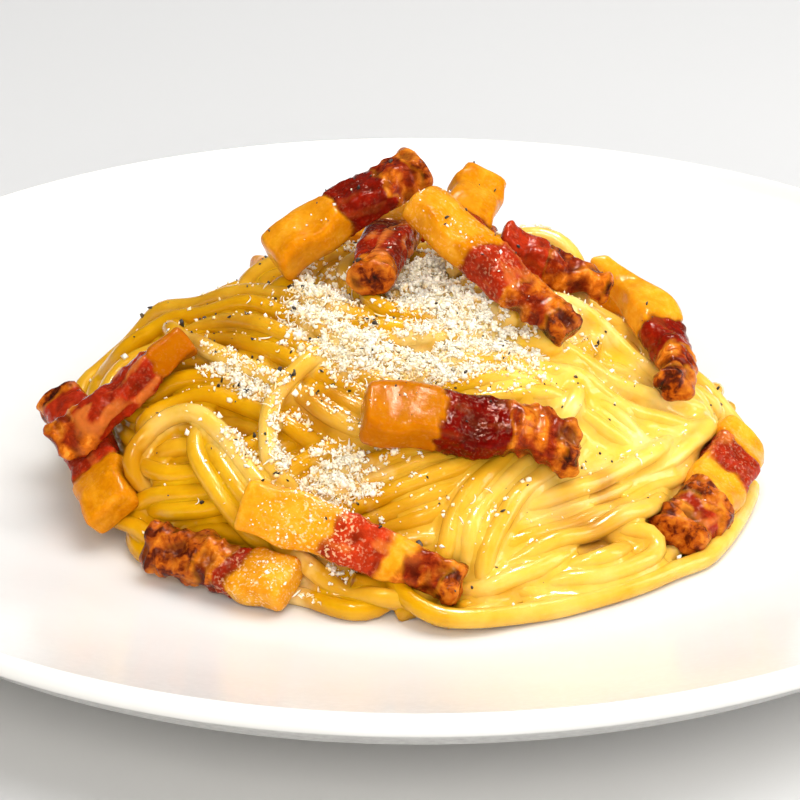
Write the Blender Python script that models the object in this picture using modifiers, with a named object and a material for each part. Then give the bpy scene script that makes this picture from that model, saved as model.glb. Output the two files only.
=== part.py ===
"""Spaghetti carbonara served on one plate.

Pieces: a turned porcelain plate, the heap of spaghetti out to its uneven
outline, and the strips of fried guanciale that lie in it and on it.
Metres, +Z up, origin at the middle of the plate's foot.
"""
import bpy
import bmesh
import math
from mathutils import Vector

MM = 0.001

# ------------------------------------------------------------- dimensions
PLATE_RADIUS = 110 * MM        # half of a 220 mm plate
PLATE_HEIGHT = 20 * MM         # foot to rim
PLATE_THICK = 3.8 * MM
PLATE_WELL_Z = 5.0 * MM        # upper face of the flat middle
PLATE_WELL_RADIUS = 66 * MM    # where the wall starts to rise
PLATE_FOOT_OUTER = 63 * MM
PLATE_FOOT_INNER = 58 * MM
PLATE_STEPS = 60

GAP = 0.3 * MM                 # clearance between touching pieces
HEAP_HEIGHT = 35.5 * MM
HEAP_SEGMENTS = 50
HEAP_DOME_RINGS = 17
HEAP_BASE_RINGS = 2
# radius, and the two exponents of the profile, on each side of the heap
HEAP_SIDES = {
    "front": (56.5 * MM, 2.00, 0.62),
    "left": (61.0 * MM, 1.80, 0.54),
    "right": (55.8 * MM, 2.10, 0.92),
    "back": (53.0 * MM, 1.70, 0.74),
}
HEAP_TOP_X = -1.9 * MM         # the top stands a little off the middle
HEAP_TOP_Y = 1.9 * MM
SWIRL_ARMS = 9                 # bundles of strands wound round the heap
SWIRL_DEPTH = 0.8 * MM
SWIRL_TWIST = 2.6

STRIP_LENGTH_CUTS = 7
STRIP_SIDE_CUTS = 2
LEAN = 0.8                     # share of the slope that a strip's face follows

# Guanciale strips: plan position of the fat end and of the browned end (mm),
# height of each end's middle above the heap (mm), width, thickness, roll
# about the strip (deg), sideways bow and upward bow (mm).
STRIPS = [
    # the pile on top
    ("guanciale_01", (-22.8, -4.4), (0.6, 5.2), 3.0, 12.2, 8.2, 6.2, 10, 0.0, 0.6),
    ("guanciale_02", (-2.8, 14.5), (-7.8, -14.2), 2.6, 2.2, 8.2, 5.4, 4, 0.6, 0.2),
    ("guanciale_03", (-0.2, -6.0), (23.4, -20.6), 11.0, 3.2, 8.2, 5.4, 4, -0.6, 0.6),
    ("guanciale_04", (10.6, 17.0), (6.2, -4.0), 9.2, 3.0, 8.2, 5.2, -22, 0.0, 0.0),
    ("guanciale_05", (13.2, 2.4), (30.8, 0.2), 2.4, 2.6, 6.0, 5.2, 6, 0.5, -0.5),
    ("guanciale_06", (32.6, 16.0), (40.4, -15.4), 3.2, 2.6, 8.4, 5.4, 10, 3.2, 0.4),
    # lying on the slopes
    ("guanciale_07", (-8.2, -39.2), (24.0, -38.6), 2.4, 2.6, 9.6, 6.0, 0, 0.6, 0.2),
    ("guanciale_08", (51.4, -10.6), (39.2, -39.4), 2.2, 2.8, 9.0, 6.0, 14, 1.2, 0.6),
    ("guanciale_09", (-35.6, -17.0), (-55.8, -26.0), 2.0, 12.4, 6.6, 5.2, 0, 0.4, 0.2),
    ("guanciale_10", (-46.4, -36.2), (-57.0, -7.0), 3.2, 2.2, 8.6, 5.0, 14, -0.8, 0.0),
    ("guanciale_11", (-18.6, -54.2), (-40.4, -42.4), 3.9, 3.8, 8.0, 5.2, 28, 0.4, 0.0),
    ("guanciale_12", (-26.0, -46.8), (6.2, -56.4), 3.2, 4.6, 8.4, 5.6, 8, 0.8, 0.8),
    # on the far side
    ("guanciale_13", (-12.0, 31.0), (13.0, 35.0), 2.4, 2.4, 9.2, 6.0, 0, 0.8, 0.4),
    ("guanciale_14", (-28.0, 40.0), (-1.0, 48.6), 1.8, 2.6, 8.8, 5.8, 14, 0.8, 0.4),
    ("guanciale_15", (40.5, 27.0), (18.5, 43.5), 3.2, 2.8, 9.0, 5.8, 12, -0.8, 0.4),
]


# ---------------------------------------------------------------- helpers
def clear_scene():
    for ob in list(bpy.data.objects):
        bpy.data.objects.remove(ob, do_unlink=True)


def collection(name):
    col = bpy.data.collections.new(name)
    bpy.context.scene.collection.children.link(col)
    return col


def material(name, colour, roughness, metallic=0.0, coat=0.0):
    mat = bpy.data.materials.new(name)
    mat.use_nodes = True
    bsdf = mat.node_tree.nodes["Principled BSDF"]
    bsdf.inputs["Base Color"].default_value = (*colour, 1.0)
    bsdf.inputs["Roughness"].default_value = roughness
    bsdf.inputs["Metallic"].default_value = metallic
    bsdf.inputs["Coat Weight"].default_value = coat
    return mat


def add_object(name, mesh, col, mat=None):
    ob = bpy.data.objects.new(name, mesh)
    col.objects.link(ob)
    if mat is not None:
        mesh.materials.append(mat)
    return ob


# ------------------------------------------------------------------ plate
def plate_top(r):
    """Height of the plate's upper face at radius r."""
    if r <= PLATE_WELL_RADIUS:
        return PLATE_WELL_Z
    k = (r - PLATE_WELL_RADIUS) / (PLATE_RADIUS - PLATE_WELL_RADIUS)
    return PLATE_WELL_Z + (PLATE_HEIGHT - 0.9 * MM - PLATE_WELL_Z) * k ** 1.45


def plate_profile():
    """Half section, from the axis over the rim and back under the foot."""
    pts = [(0.0, PLATE_WELL_Z), (PLATE_WELL_RADIUS * 0.5, PLATE_WELL_Z)]
    rim_in = PLATE_RADIUS - 1.6 * MM
    n = 6
    for i in range(n + 1):
        r = PLATE_WELL_RADIUS + (rim_in - PLATE_WELL_RADIUS) * i / n
        pts.append((r, plate_top(r)))
    # rounded rim
    cx, cz, rr = PLATE_RADIUS - 1.7 * MM, PLATE_HEIGHT - 1.7 * MM, 1.7 * MM
    for a in (75, 30, -15, -60):
        a = math.radians(a)
        pts.append((cx + rr * math.cos(a), cz + rr * math.sin(a)))
    m = 4
    r0, r1 = PLATE_RADIUS - 6 * MM, PLATE_FOOT_OUTER + 4 * MM
    for i in range(m + 1):
        r = r0 + (r1 - r0) * i / m
        pts.append((r, plate_top(r) - PLATE_THICK * (1.0 + 0.06 * i / m)))
    pts.append((PLATE_FOOT_OUTER + 0.6 * MM, 0.7 * MM))
    pts.append((PLATE_FOOT_OUTER, 0.0))
    pts.append((PLATE_FOOT_INNER, 0.0))
    pts.append((PLATE_FOOT_INNER - 1.0 * MM, 1.2 * MM))
    pts.append((0.0, 1.2 * MM))
    return pts


def make_plate(col):
    mesh = bpy.data.meshes.new("plate")
    bm = bmesh.new()
    verts = [bm.verts.new((r, 0.0, z)) for r, z in plate_profile()]
    for a, b in zip(verts, verts[1:]):
        bm.edges.new((a, b))
    bm.to_mesh(mesh)
    bm.free()
    mat = material("white_porcelain", (0.86, 0.855, 0.84), 0.12, coat=0.5)
    ob = add_object("plate", mesh, col, mat)
    sc = ob.modifiers.new("turn", 'SCREW')
    sc.axis = 'Z'
    sc.angle = 2 * math.pi
    sc.steps = PLATE_STEPS
    sc.render_steps = PLATE_STEPS
    sc.use_merge_vertices = True
    sc.merge_threshold = 0.00005
    sc.use_smooth_shade = True
    return ob


# ------------------------------------------------------------------- heap
def side_mix(phi):
    """Radius and exponents at azimuth phi, blended between the four sides."""
    c, s = math.cos(phi), math.sin(phi)
    w = {
        "left": max(0.0, -c) ** 2, "right": max(0.0, c) ** 2,
        "back": max(0.0, s) ** 2, "front": max(0.0, -s) ** 2,
    }
    return [sum(HEAP_SIDES[k][i] * w[k] for k in w) for i in range(3)]


def heap_outline(phi):
    """Uneven foot of the heap, where loose turns of pasta lie."""
    return (0.9 * math.sin(3 * phi + 0.7) + 0.7 * math.sin(5 * phi + 2.1)
            + 0.4 * math.sin(9 * phi + 4.0)) * MM


def heap_point(phi, t, relief=True):
    radius, a, b = side_mix(phi)
    r = radius * t
    z = PLATE_WELL_Z + GAP + HEAP_HEIGHT * (1 - min(t, 1.0) ** a) ** b
    x = r * math.cos(phi) + HEAP_TOP_X * (1 - t)
    y = r * math.sin(phi) + HEAP_TOP_Y * (1 - t)
    if relief:
        fade = math.sin(math.pi * min(1.0, t * 1.05)) ** 0.7 if t < 0.95 else 0.0
        wave = math.sin(SWIRL_ARMS * phi + SWIRL_TWIST * math.pi * t)
        z += SWIRL_DEPTH * wave * fade
        k = heap_outline(phi) * t ** 3 / max(r, 1 * MM)
        x += x * k
        y += y * k
    return Vector((x, y, z))


def heap_height(x, y):
    """Height of the smooth heap under a plan point; the well outside it."""
    t = 0.5
    for _ in range(24):
        dx = x - HEAP_TOP_X * (1 - t)
        dy = y - HEAP_TOP_Y * (1 - t)
        phi = math.atan2(dy, dx)
        radius = side_mix(phi)[0]
        t = min(math.hypot(dx, dy) / radius, 1.2)
    if t >= 1.0:
        return PLATE_WELL_Z + GAP
    return heap_point(phi, t, relief=False).z


def make_heap(col):
    rings = HEAP_DOME_RINGS + HEAP_BASE_RINGS
    mesh = bpy.data.meshes.new("spaghetti")
    bm = bmesh.new()
    bmesh.ops.create_uvsphere(bm, u_segments=HEAP_SEGMENTS, v_segments=rings,
                              radius=1.0)
    for v in bm.verts:
        theta = math.acos(max(-1.0, min(1.0, v.co.z))) / math.pi * rings
        phi = math.atan2(v.co.y, v.co.x)
        if theta <= HEAP_DOME_RINGS + 0.01:
            s = min(1.0, theta / HEAP_DOME_RINGS)
            t = 1 - (1 - s) ** 1.45
            v.co = heap_point(phi, t)
        else:
            s = (rings - theta) / HEAP_BASE_RINGS
            foot = heap_point(phi, 1.0)
            v.co = Vector((foot.x * s, foot.y * s, PLATE_WELL_Z + GAP))
    bm.to_mesh(mesh)
    bm.free()
    mesh.shade_smooth()
    mat = material("egg_cream_pasta", (0.88, 0.66, 0.22), 0.35, coat=0.3)
    return add_object("spaghetti", mesh, col, mat)


# ----------------------------------------------------------------- strips
def strip_frame(p0, p1, roll):
    axis = (p1 - p0).normalized()
    mid = (p0 + p1) / 2
    e = 2 * MM
    nx = heap_height(mid.x - e, mid.y) - heap_height(mid.x + e, mid.y)
    ny = heap_height(mid.x, mid.y - e) - heap_height(mid.x, mid.y + e)
    up = Vector((nx * LEAN, ny * LEAN, 2 * e)).normalized()
    up = (up - axis * up.dot(axis)).normalized()
    side = up.cross(axis).normalized()
    a = math.radians(roll)
    return axis, side * math.cos(a) + up * math.sin(a), up * math.cos(a) - side * math.sin(a)


def strip_mesh(name, spec, grow=0.0):
    _, a, b, lift_a, lift_b, width, thick, roll, bow, rise = spec
    p0 = Vector((a[0] * MM, a[1] * MM, 0))
    p1 = Vector((b[0] * MM, b[1] * MM, 0))
    p0.z = heap_height(p0.x, p0.y) + lift_a * MM
    p1.z = heap_height(p1.x, p1.y) + lift_b * MM
    axis, side, up = strip_frame(p0, p1, roll)
    length = (p1 - p0).length
    seed = sum(ord(c) for c in spec[0]) * 0.37
    mesh = bpy.data.meshes.new(name)
    bm = bmesh.new()
    bmesh.ops.create_cube(bm, size=2.0)
    for k in range(1, STRIP_LENGTH_CUTS + 1):
        x = -1 + 2 * k / (STRIP_LENGTH_CUTS + 1)
        bmesh.ops.bisect_plane(bm, geom=bm.verts[:] + bm.edges[:] + bm.faces[:],
                               plane_co=(x, 0, 0), plane_no=(1, 0, 0))
    for k in range(1, STRIP_SIDE_CUTS + 1):
        w = -1 + 2 * k / (STRIP_SIDE_CUTS + 1)
        for no in ((0, 1, 0), (0, 0, 1)):
            bmesh.ops.bisect_plane(bm, geom=bm.verts[:] + bm.edges[:] + bm.faces[:],
                                   plane_co=(0, w * no[1], w * no[2]), plane_no=no)
    for v in bm.verts:
        u, s, t = v.co
        # rounded section and rounded ends
        q = (s ** 4 + t ** 4) ** 0.25
        flat = max(abs(s), abs(t))
        if q > 1e-6:
            f = flat / q
            s, t = s * (0.35 + 0.65 * f), t * (0.35 + 0.65 * f)
        e = max(0.0, abs(u) - 0.8) / 0.2
        taper = 1 - 0.13 * e * e
        k = (u + 1) / 2
        swell = 1 + 0.06 * math.sin(5.3 * k * math.pi + seed) \
            + 0.04 * math.sin(9.1 * k * math.pi + 2 * seed)
        half_w = (width / 2 * swell * taper) * MM + grow
        half_t = (thick / 2 * (2 - swell) * taper) * MM + grow
        centre = (p0 + p1) / 2 + axis * (u * (length / 2 + grow))
        arch = 1 - u * u
        centre = centre + side * (bow * MM * arch) + up * (rise * MM * arch)
        v.co = centre + side * (s * half_w) + up * (t * half_t)
    bm.to_mesh(mesh)
    bm.free()
    mesh.shade_smooth()
    mesh.set_sharp_from_angle(angle=math.radians(50))
    return mesh


def make_strips(parts, cutters, heap):
    for i, spec in enumerate(STRIPS):
        name = spec[0]
        mat = material("fried_" + name, (0.42 + 0.02 * (i % 3), 0.12, 0.035), 0.38)
        add_object(name, strip_mesh(name, spec), parts, mat)
        cut = add_object(name + "_bed", strip_mesh(name + "_bed", spec, GAP * 1.2),
                         cutters)
        cut.hide_render = True
        cut.display_type = 'WIRE'
        mod = heap.modifiers.new(name + "_bed", 'BOOLEAN')
        mod.operation = 'DIFFERENCE'
        mod.solver = 'EXACT'
        mod.object = cut


def main():
    clear_scene()
    parts = collection("spaghetti_carbonara")
    cutters = collection("cutters")
    make_plate(parts)
    heap = make_heap(parts)
    make_strips(parts, cutters, heap)


main()
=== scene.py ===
import bpy
import math
import time
import numpy as np
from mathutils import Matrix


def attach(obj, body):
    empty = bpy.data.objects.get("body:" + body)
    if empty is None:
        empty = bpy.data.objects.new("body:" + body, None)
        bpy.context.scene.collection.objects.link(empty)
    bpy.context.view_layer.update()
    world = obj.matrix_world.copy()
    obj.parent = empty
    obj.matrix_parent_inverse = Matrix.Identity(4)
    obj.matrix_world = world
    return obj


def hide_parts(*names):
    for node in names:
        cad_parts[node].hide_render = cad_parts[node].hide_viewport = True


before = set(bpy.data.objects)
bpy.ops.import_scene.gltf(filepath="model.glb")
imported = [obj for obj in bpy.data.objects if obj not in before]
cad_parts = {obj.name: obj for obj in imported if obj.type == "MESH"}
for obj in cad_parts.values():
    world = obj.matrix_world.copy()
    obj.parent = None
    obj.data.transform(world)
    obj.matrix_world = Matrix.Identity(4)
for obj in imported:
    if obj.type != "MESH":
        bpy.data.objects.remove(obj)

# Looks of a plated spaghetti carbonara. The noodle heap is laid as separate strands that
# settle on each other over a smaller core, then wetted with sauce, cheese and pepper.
import openvdb as vdb
from mathutils import Vector, noise

T0 = time.time()
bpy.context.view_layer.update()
MM = 0.001
rng = np.random.default_rng(20)

# ------------------------------------------------------------------ heap and strip sizes (mm)
WELL_Z = 5.0
Z0 = 5.3
HEAP_H = 35.5
TOP_X, TOP_Y = -1.9, 1.9
SIDES = {"front": (56.5, 2.00, 0.62), "left": (61.0, 1.80, 0.54),
         "right": (55.8, 2.10, 0.92), "back": (53.0, 1.70, 0.74)}
STRAND_R = 1.52

STRIPS = [
    # name, fat end, browned end, lift of each, width, thickness, roll, bow, rise
    ("guanciale_01", (-22.8, -4.4), (0.6, 5.2), 3.0, 12.2, 8.2, 6.2, 10, 0.0, 0.6),
    ("guanciale_02", (-2.8, 14.5), (-7.8, -14.2), 2.6, 2.2, 8.2, 5.4, 4, 0.6, 0.2),
    ("guanciale_03", (-0.2, -6.0), (23.4, -20.6), 11.0, 3.2, 8.2, 5.4, 4, -0.6, 0.6),
    ("guanciale_04", (10.6, 17.0), (6.2, -4.0), 9.2, 3.0, 8.2, 5.2, -22, 0.0, 0.0),
    ("guanciale_05", (13.2, 2.4), (30.8, 0.2), 2.4, 2.6, 6.0, 5.2, 6, 0.5, -0.5),
    ("guanciale_06", (32.6, 16.0), (40.4, -15.4), 3.2, 2.6, 8.4, 5.4, 10, 3.2, 0.4),
    ("guanciale_07", (-8.2, -39.2), (24.0, -38.6), 2.4, 2.6, 9.6, 6.0, 0, 0.6, 0.2),
    ("guanciale_08", (51.4, -10.6), (39.2, -39.4), 2.2, 2.8, 9.0, 6.0, 14, 1.2, 0.6),
    ("guanciale_09", (-35.6, -17.0), (-55.8, -26.0), 2.0, 12.4, 6.6, 5.2, 0, 0.4, 0.2),
    ("guanciale_10", (-46.4, -36.2), (-57.0, -7.0), 3.2, 2.2, 8.6, 5.0, 14, -0.8, 0.0),
    ("guanciale_11", (-18.6, -54.2), (-40.4, -42.4), 3.9, 3.8, 8.0, 5.2, 28, 0.4, 0.0),
    ("guanciale_12", (-26.0, -46.8), (6.2, -56.4), 3.2, 4.6, 8.4, 5.6, 8, 0.8, 0.8),
    ("guanciale_13", (-12.0, 31.0), (13.0, 35.0), 2.4, 2.4, 9.2, 6.0, 0, 0.8, 0.4),
    ("guanciale_14", (-28.0, 40.0), (-1.0, 48.6), 1.8, 2.6, 8.8, 5.8, 14, 0.8, 0.4),
    ("guanciale_15", (40.5, 27.0), (18.5, 43.5), 3.2, 2.8, 9.0, 5.8, 12, -0.8, 0.4),
]

# Routes of the strands that show in front: name, layer, then (azimuth deg, distance down the
# heap from its top as a share, and for some the extra height in mm).
ROUTES = [
    ("A1", 1, ((176.8, 0.97, 0.5), (177.3, 0.98, 4), (174.4, 0.96, 3.7), (170.4, 0.91, 1.5), (169.9, 0.86), (168.4, 0.79), (169.1, 0.71), (172.9, 0.61), (180.7, 0.5), (190.6, 0.4), (209.3, 0.34), (234.8, 0.33), (257.2, 0.38))),
    ("A2", 1, ((-170.9, 0.92), (-179.9, 0.93), (-185.2, 0.91), (-181.5, 0.85), (-180.3, 0.79), (-182, 0.72), (-180, 0.64), (-175.1, 0.56), (-165.1, 0.47), (-149.4, 0.42), (-130.4, 0.42), (-113.3, 0.46), (-98.5, 0.5))),
    ("A3", 1, ((-164.1, 0.88), (-170.3, 0.87), (-174.5, 0.84), (-174.7, 0.79), (-176, 0.74), (-175.3, 0.67), (-170.6, 0.59), (-160.3, 0.51), (-147, 0.48), (-131.2, 0.48), (-115.9, 0.51), (-103.5, 0.56), (-93.4, 0.61))),
    ("A4", 1, ((-157.8, 0.86), (-163.9, 0.84), (-167.6, 0.8), (-168.9, 0.75), (-168.7, 0.69), (-164.8, 0.62), (-157.2, 0.55), (-145.2, 0.53), (-131.7, 0.53), (-119.6, 0.56), (-109.3, 0.6), (-99.4, 0.64), (-90.9, 0.69))),
    ("A5", 0, ((-161.3, 0.74), (-159.8, 0.68), (-154.4, 0.61), (-143.6, 0.57), (-131.2, 0.57), (-120.4, 0.6), (-110.7, 0.64), (-101.4, 0.67))),
    ("A6", 0, ((-151.9, 0.73), (-150, 0.65), (-139.2, 0.61), (-127.3, 0.61), (-117.3, 0.64), (-108.6, 0.67))),
    ("B1", 2, ((-168.1, 0.66), (-160.6, 0.64), (-151.7, 0.62), (-142.4, 0.61), (-133.4, 0.6), (-125.2, 0.62), (-117.5, 0.65), (-110.8, 0.68))),
    ("W1", 1, ((-154.3, 0.81), (-154.1, 0.76), (-151.6, 0.71), (-146, 0.66), (-137.6, 0.64), (-128.6, 0.65), (-120.1, 0.67))),
    ("W2", 1, ((-150.3, 0.84), (-149.2, 0.79), (-145.7, 0.74), (-140.3, 0.7), (-132.6, 0.69), (-125, 0.7), (-118.3, 0.73))),
    ("W3", 0, ((-147.1, 0.84), (-144.2, 0.78), (-138.6, 0.74), (-131.3, 0.72), (-123.6, 0.74), (-118.1, 0.77))),
    ("C1", 2, ((-144.7, 0.94), (-146.1, 0.9), (-147.2, 0.86), (-146.6, 0.82), (-143.2, 0.78), (-137.8, 0.77), (-132, 0.79), (-126.4, 0.81), (-122, 0.85), (-117.9, 0.88), (-114, 0.91))),
    ("C0", 1, ((-144.3, 0.94), (-143.8, 0.9), (-142.5, 0.86), (-139.4, 0.83), (-134.6, 0.83), (-129.7, 0.85), (-125.3, 0.87), (-121.3, 0.9), (-117, 0.93))),
    ("C3", 1, ((-143.1, 0.95), (-141.3, 0.92), (-139.2, 0.88), (-135.9, 0.86), (-131.8, 0.86))),
    ("C2", 2, ((-135.2, 0.84), (-131, 0.86), (-127.2, 0.88), (-123.6, 0.91), (-120.4, 0.93), (-117, 0.95))),
    ("D6", 1, ((-147.3, 0.94), (-140.8, 0.93), (-135.7, 0.9), (-131.5, 0.87), (-128.8, 0.84), (-125.7, 0.8))),
    ("D1", 1, ((-146.5, 0.95), (-140.6, 0.94), (-134.8, 0.92), (-129.7, 0.89), (-126.1, 0.86), (-122.7, 0.83))),
    ("D2", 1, ((-144, 0.97), (-138.1, 0.95), (-132.1, 0.93), (-127.2, 0.9), (-123.2, 0.87), (-119.3, 0.84))),
    ("D3", 1, ((-140.8, 0.97), (-135.3, 0.96), (-130, 0.94), (-125.7, 0.91), (-121.9, 0.89), (-117.8, 0.87))),
    ("D4", 1, ((-138, 0.98), (-132.6, 0.97), (-127.9, 0.95), (-125.3, 0.93), (-124.6, 0.91), (-126.7, 0.9))),
    ("D5", 0, ((-135.8, 0.99), (-129.2, 0.97), (-124.1, 0.96), (-119.1, 0.94), (-114.2, 0.92))),
    ("B2", 3, ((-121.8, 0.62), (-124.3, 0.66), (-124, 0.7), (-121.9, 0.75), (-119.5, 0.8), (-117.6, 0.84), (-116, 0.87))),
    ("E1", 1, ((-142.9, 1), (-136.6, 1.03), (-130.6, 1.05), (-125.3, 1.06), (-119.6, 1.06), (-113.7, 1.06), (-107.4, 1.07), (-101.2, 1.1), (-95.2, 1.12))),
    ("E2", 2, ((-111.4, 0.97), (-107.8, 0.98), (-104, 0.99), (-99.5, 1.02), (-94.8, 1.07), (-89.8, 1.09))),
    ("F1", 2, ((-56.6, 0.73), (-63.2, 0.76), (-67.9, 0.79), (-72.3, 0.82), (-76, 0.86), (-79.2, 0.89), (-81.9, 0.93), (-84.1, 0.96), (-85.5, 0.99), (-86.4, 1.07))),
    ("F2", 1, ((-68.6, 0.75), (-73.6, 0.78), (-77.8, 0.82), (-81.5, 0.86), (-84.3, 0.9), (-86.6, 0.94), (-88.4, 0.97), (-89.7, 0.99), (-90.5, 1.08))),
    ("F3", 1, ((-56, 0.79), (-61.6, 0.81), (-67.1, 0.84), (-71.6, 0.87), (-75.4, 0.91), (-78.4, 0.94), (-80.6, 0.97), (-82, 1), (-83.1, 1.1))),
    ("F4", 0, ((-79, 0.78), (-83.5, 0.82), (-87.2, 0.86), (-90, 0.9), (-92.2, 0.94), (-93.6, 0.98), (-94.3, 1.02))),
    ("G1", 2, ((-86.8, 1.03), (-82, 0.99), (-77.1, 0.98), (-71.6, 0.98), (-65.5, 0.97), (-58.6, 0.97), (-50.9, 0.96), (-44.3, 0.96), (-36.4, 0.96), (-27.4, 0.96))),
    ("G2", 2, ((-85.1, 0.99), (-80.2, 0.98), (-74.8, 0.97), (-68.8, 0.95), (-62.1, 0.95), (-55.1, 0.94), (-47.5, 0.94), (-39.6, 0.94), (-29.3, 0.94), (-18.2, 0.94))),
    ("G3", 1, ((-83.7, 0.97), (-78.3, 0.96), (-72.6, 0.94), (-66.1, 0.93), (-59.1, 0.92), (-51.3, 0.92), (-43.3, 0.91), (-33.1, 0.91), (-19.2, 0.91))),
    ("G4", 1, ((-81.5, 0.95), (-76.2, 0.93), (-70.1, 0.91), (-63.1, 0.9), (-55.5, 0.89), (-46.7, 0.88), (-37.3, 0.88), (-24.6, 0.88), (-10.7, 0.9))),
    ("G5", 1, ((-78.8, 0.92), (-73, 0.9), (-66, 0.88), (-58.3, 0.87), (-49.7, 0.86), (-39.8, 0.85), (-27, 0.85), (-10.7, 0.87))),
    ("G6", 0, ((-75.3, 0.88), (-68.6, 0.86), (-60.9, 0.84), (-52.2, 0.83), (-42, 0.82), (-28.6, 0.82), (-9.4, 0.85))),
    ("G7", 0, ((-70.6, 0.85), (-63.2, 0.82), (-54.4, 0.81), (-44.1, 0.8), (-30.9, 0.8), (-10.7, 0.83))),
    ("J1", 1, ((-80.6, 0.49), (-66.6, 0.51), (-54, 0.56), (-43.3, 0.63), (-34, 0.71), (-26, 0.79), (-19.2, 0.88), (-15.8, 0.95))),
    ("J2", 0, ((-87.8, 0.55), (-75.3, 0.57), (-63.7, 0.61), (-53.2, 0.66), (-43.5, 0.72), (-34.8, 0.79), (-27.8, 0.88), (-24.6, 0.95))),
    ("J3", 1, ((-67.4, 0.43), (-51.9, 0.47), (-38.9, 0.54), (-28.6, 0.63), (-20.6, 0.73), (-14, 0.82), (-10, 0.9), (-9.3, 0.97))),
    ("J4", 0, ((-58.7, 0.38), (-41.6, 0.44), (-28.2, 0.52), (-17.8, 0.62), (-10.8, 0.72), (-5.1, 0.83), (-2.3, 0.92))),
    ("R1", 1, ((5.5, 0.45), (8.1, 0.57), (8.4, 0.69), (6.1, 0.79), (2.3, 0.87), (1.7, 0.94), (-3.5, 0.99), (-15.5, 1.03))),
    ("R2", 1, ((-15.8, 0.41), (-10.2, 0.52), (-9, 0.63), (-8.6, 0.73), (-8.5, 0.82), (-9.4, 0.9), (-11, 0.96), (-19.6, 1.01))),
    ("H1", 3, ((-87, 1.1), (-81.7, 1.05), (-75.7, 1), (-69.8, 0.99), (-64, 0.99), (-59.1, 1.01), (-53.4, 1.01), (-48.7, 0.99), (-47.2, 0.98), (-49.2, 0.96), (-54.1, 0.96))),
    ("H2", 1, ((-63.2, 1.06), (-59, 1), (-56.1, 0.98), (-52.3, 0.98), (-47.9, 0.97), (-42.5, 0.97))),
    ("I1", 2, ((-87.2, 1.13), (-80.1, 1.11), (-72.9, 1.1), (-65.5, 1.11), (-58.2, 1.11), (-50.3, 1.1), (-42, 1.09), (-32.8, 1.07), (-23.7, 1.06), (-17.4, 1.05))),
    ("I2", 1, ((-78, 1.05), (-70.4, 1.05), (-62.7, 1.07), (-54.8, 1.07), (-46.1, 1.07), (-36.4, 1.05), (-26.3, 1.03))),
    ("K1", 1, ((-16.5, 0.27), (28.6, 0.33), (40.5, 0.46, 2.5), (34.9, 0.51, 4.1), (31.6, 0.55, 3.3), (30.6, 0.58, 0.1))),
    ("M1", 1, ((-116.1, 0.94), (-111.3, 0.92), (-105.9, 0.9), (-100.1, 0.87), (-93.7, 0.84), (-86.9, 0.81), (-79.8, 0.77), (-71.9, 0.75))),
    ("M2", 1, ((-116.9, 0.91), (-112, 0.89), (-106.5, 0.86), (-100.5, 0.83), (-94, 0.8), (-87, 0.76), (-79.9, 0.73))),
    ("M3", 0, ((-109.3, 0.95), (-103.8, 0.93), (-98.1, 0.9), (-92.1, 0.87), (-86, 0.84), (-79.6, 0.81), (-72.9, 0.78))),
    ("M4", 0, ((-101.7, 0.96), (-97, 0.94), (-92.1, 0.91), (-87.3, 0.88), (-82.3, 0.84), (-76.3, 0.81))),
    ("M5", 0, ((-116.6, 0.87), (-111.5, 0.85), (-105.5, 0.81), (-99, 0.78), (-92.1, 0.74), (-84.4, 0.72))),
    ("T1", 1, ((-149.9, 0.28), (-127.3, 0.29), (-106, 0.32), (-88.3, 0.3), (-65.5, 0.25), (-36.1, 0.24))),
    ("T2", 1, ((-139.1, 0.43), (-119.7, 0.45), (-102.5, 0.46), (-86.8, 0.45), (-69.1, 0.43), (-48.1, 0.4))),
    ("T3", 1, ((-125.1, 0.53), (-110, 0.54), (-95, 0.53), (-79.9, 0.52), (-62.6, 0.51), (-42.7, 0.5))),
    ("T4", 0, ((-111.3, 0.62), (-99.7, 0.62), (-86.8, 0.6), (-72.9, 0.58), (-57.3, 0.58), (-42.4, 0.6))),
    ("T5", 0, ((-118.3, 0.41), (-101.7, 0.42), (-86, 0.4), (-66.6, 0.36), (-42.6, 0.33))),
]


# hollows between the strands that stay open to the dark: middle and size in mm
HOLLOWS = [
    (-29.6, -13.2, 28.2, 3.6), (-33.2, -10.4, 27.6, 3.4), (-6.6, -45.6, 15.2, 4.2), (26.2, -45.6, 9.4, 3.9), (28.6, -36.8, 15.6, 3.4),
    (-42.2, -30.0, 14.2, 4.0),
]

# ------------------------------------------------------------------ small tools
def sides_at(phi):
    c, s = np.cos(phi), np.sin(phi)
    w = (np.maximum(0, -s) ** 2, np.maximum(0, -c) ** 2, np.maximum(0, c) ** 2, np.maximum(0, s) ** 2)
    v = [SIDES[k] for k in ("front", "left", "right", "back")]
    return [sum(a[i] * b for a, b in zip(v, w)) for i in range(3)]


def dome(phi, t, d=0.0):
    """Point of the heap's smooth outline, or of the same shape d mm inside it."""
    phi, t = np.asarray(phi, float), np.asarray(t, float)
    R, a, b = sides_at(phi)
    k = 1 - np.minimum(t, 1.0)
    z = Z0 + (HEAP_H - d) * np.maximum(0, 1 - np.minimum(t, 1.0) ** a) ** b
    return np.stack([(R - d) * t * np.cos(phi) + TOP_X * k, (R - d) * t * np.sin(phi) + TOP_Y * k, z], -1)


def heap_height(x, y):
    x, y = np.asarray(x, float), np.asarray(y, float)
    t = np.full(x.shape, 0.5)
    for _ in range(24):
        k = 1 - np.minimum(t, 1.2)
        dx, dy = x - TOP_X * k, y - TOP_Y * k
        phi = np.arctan2(dy, dx)
        t = np.minimum(np.hypot(dx, dy) / sides_at(phi)[0], 1.2)
    z = dome(phi, t)[..., 2]
    return np.where(t >= 1, Z0, z)


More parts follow.
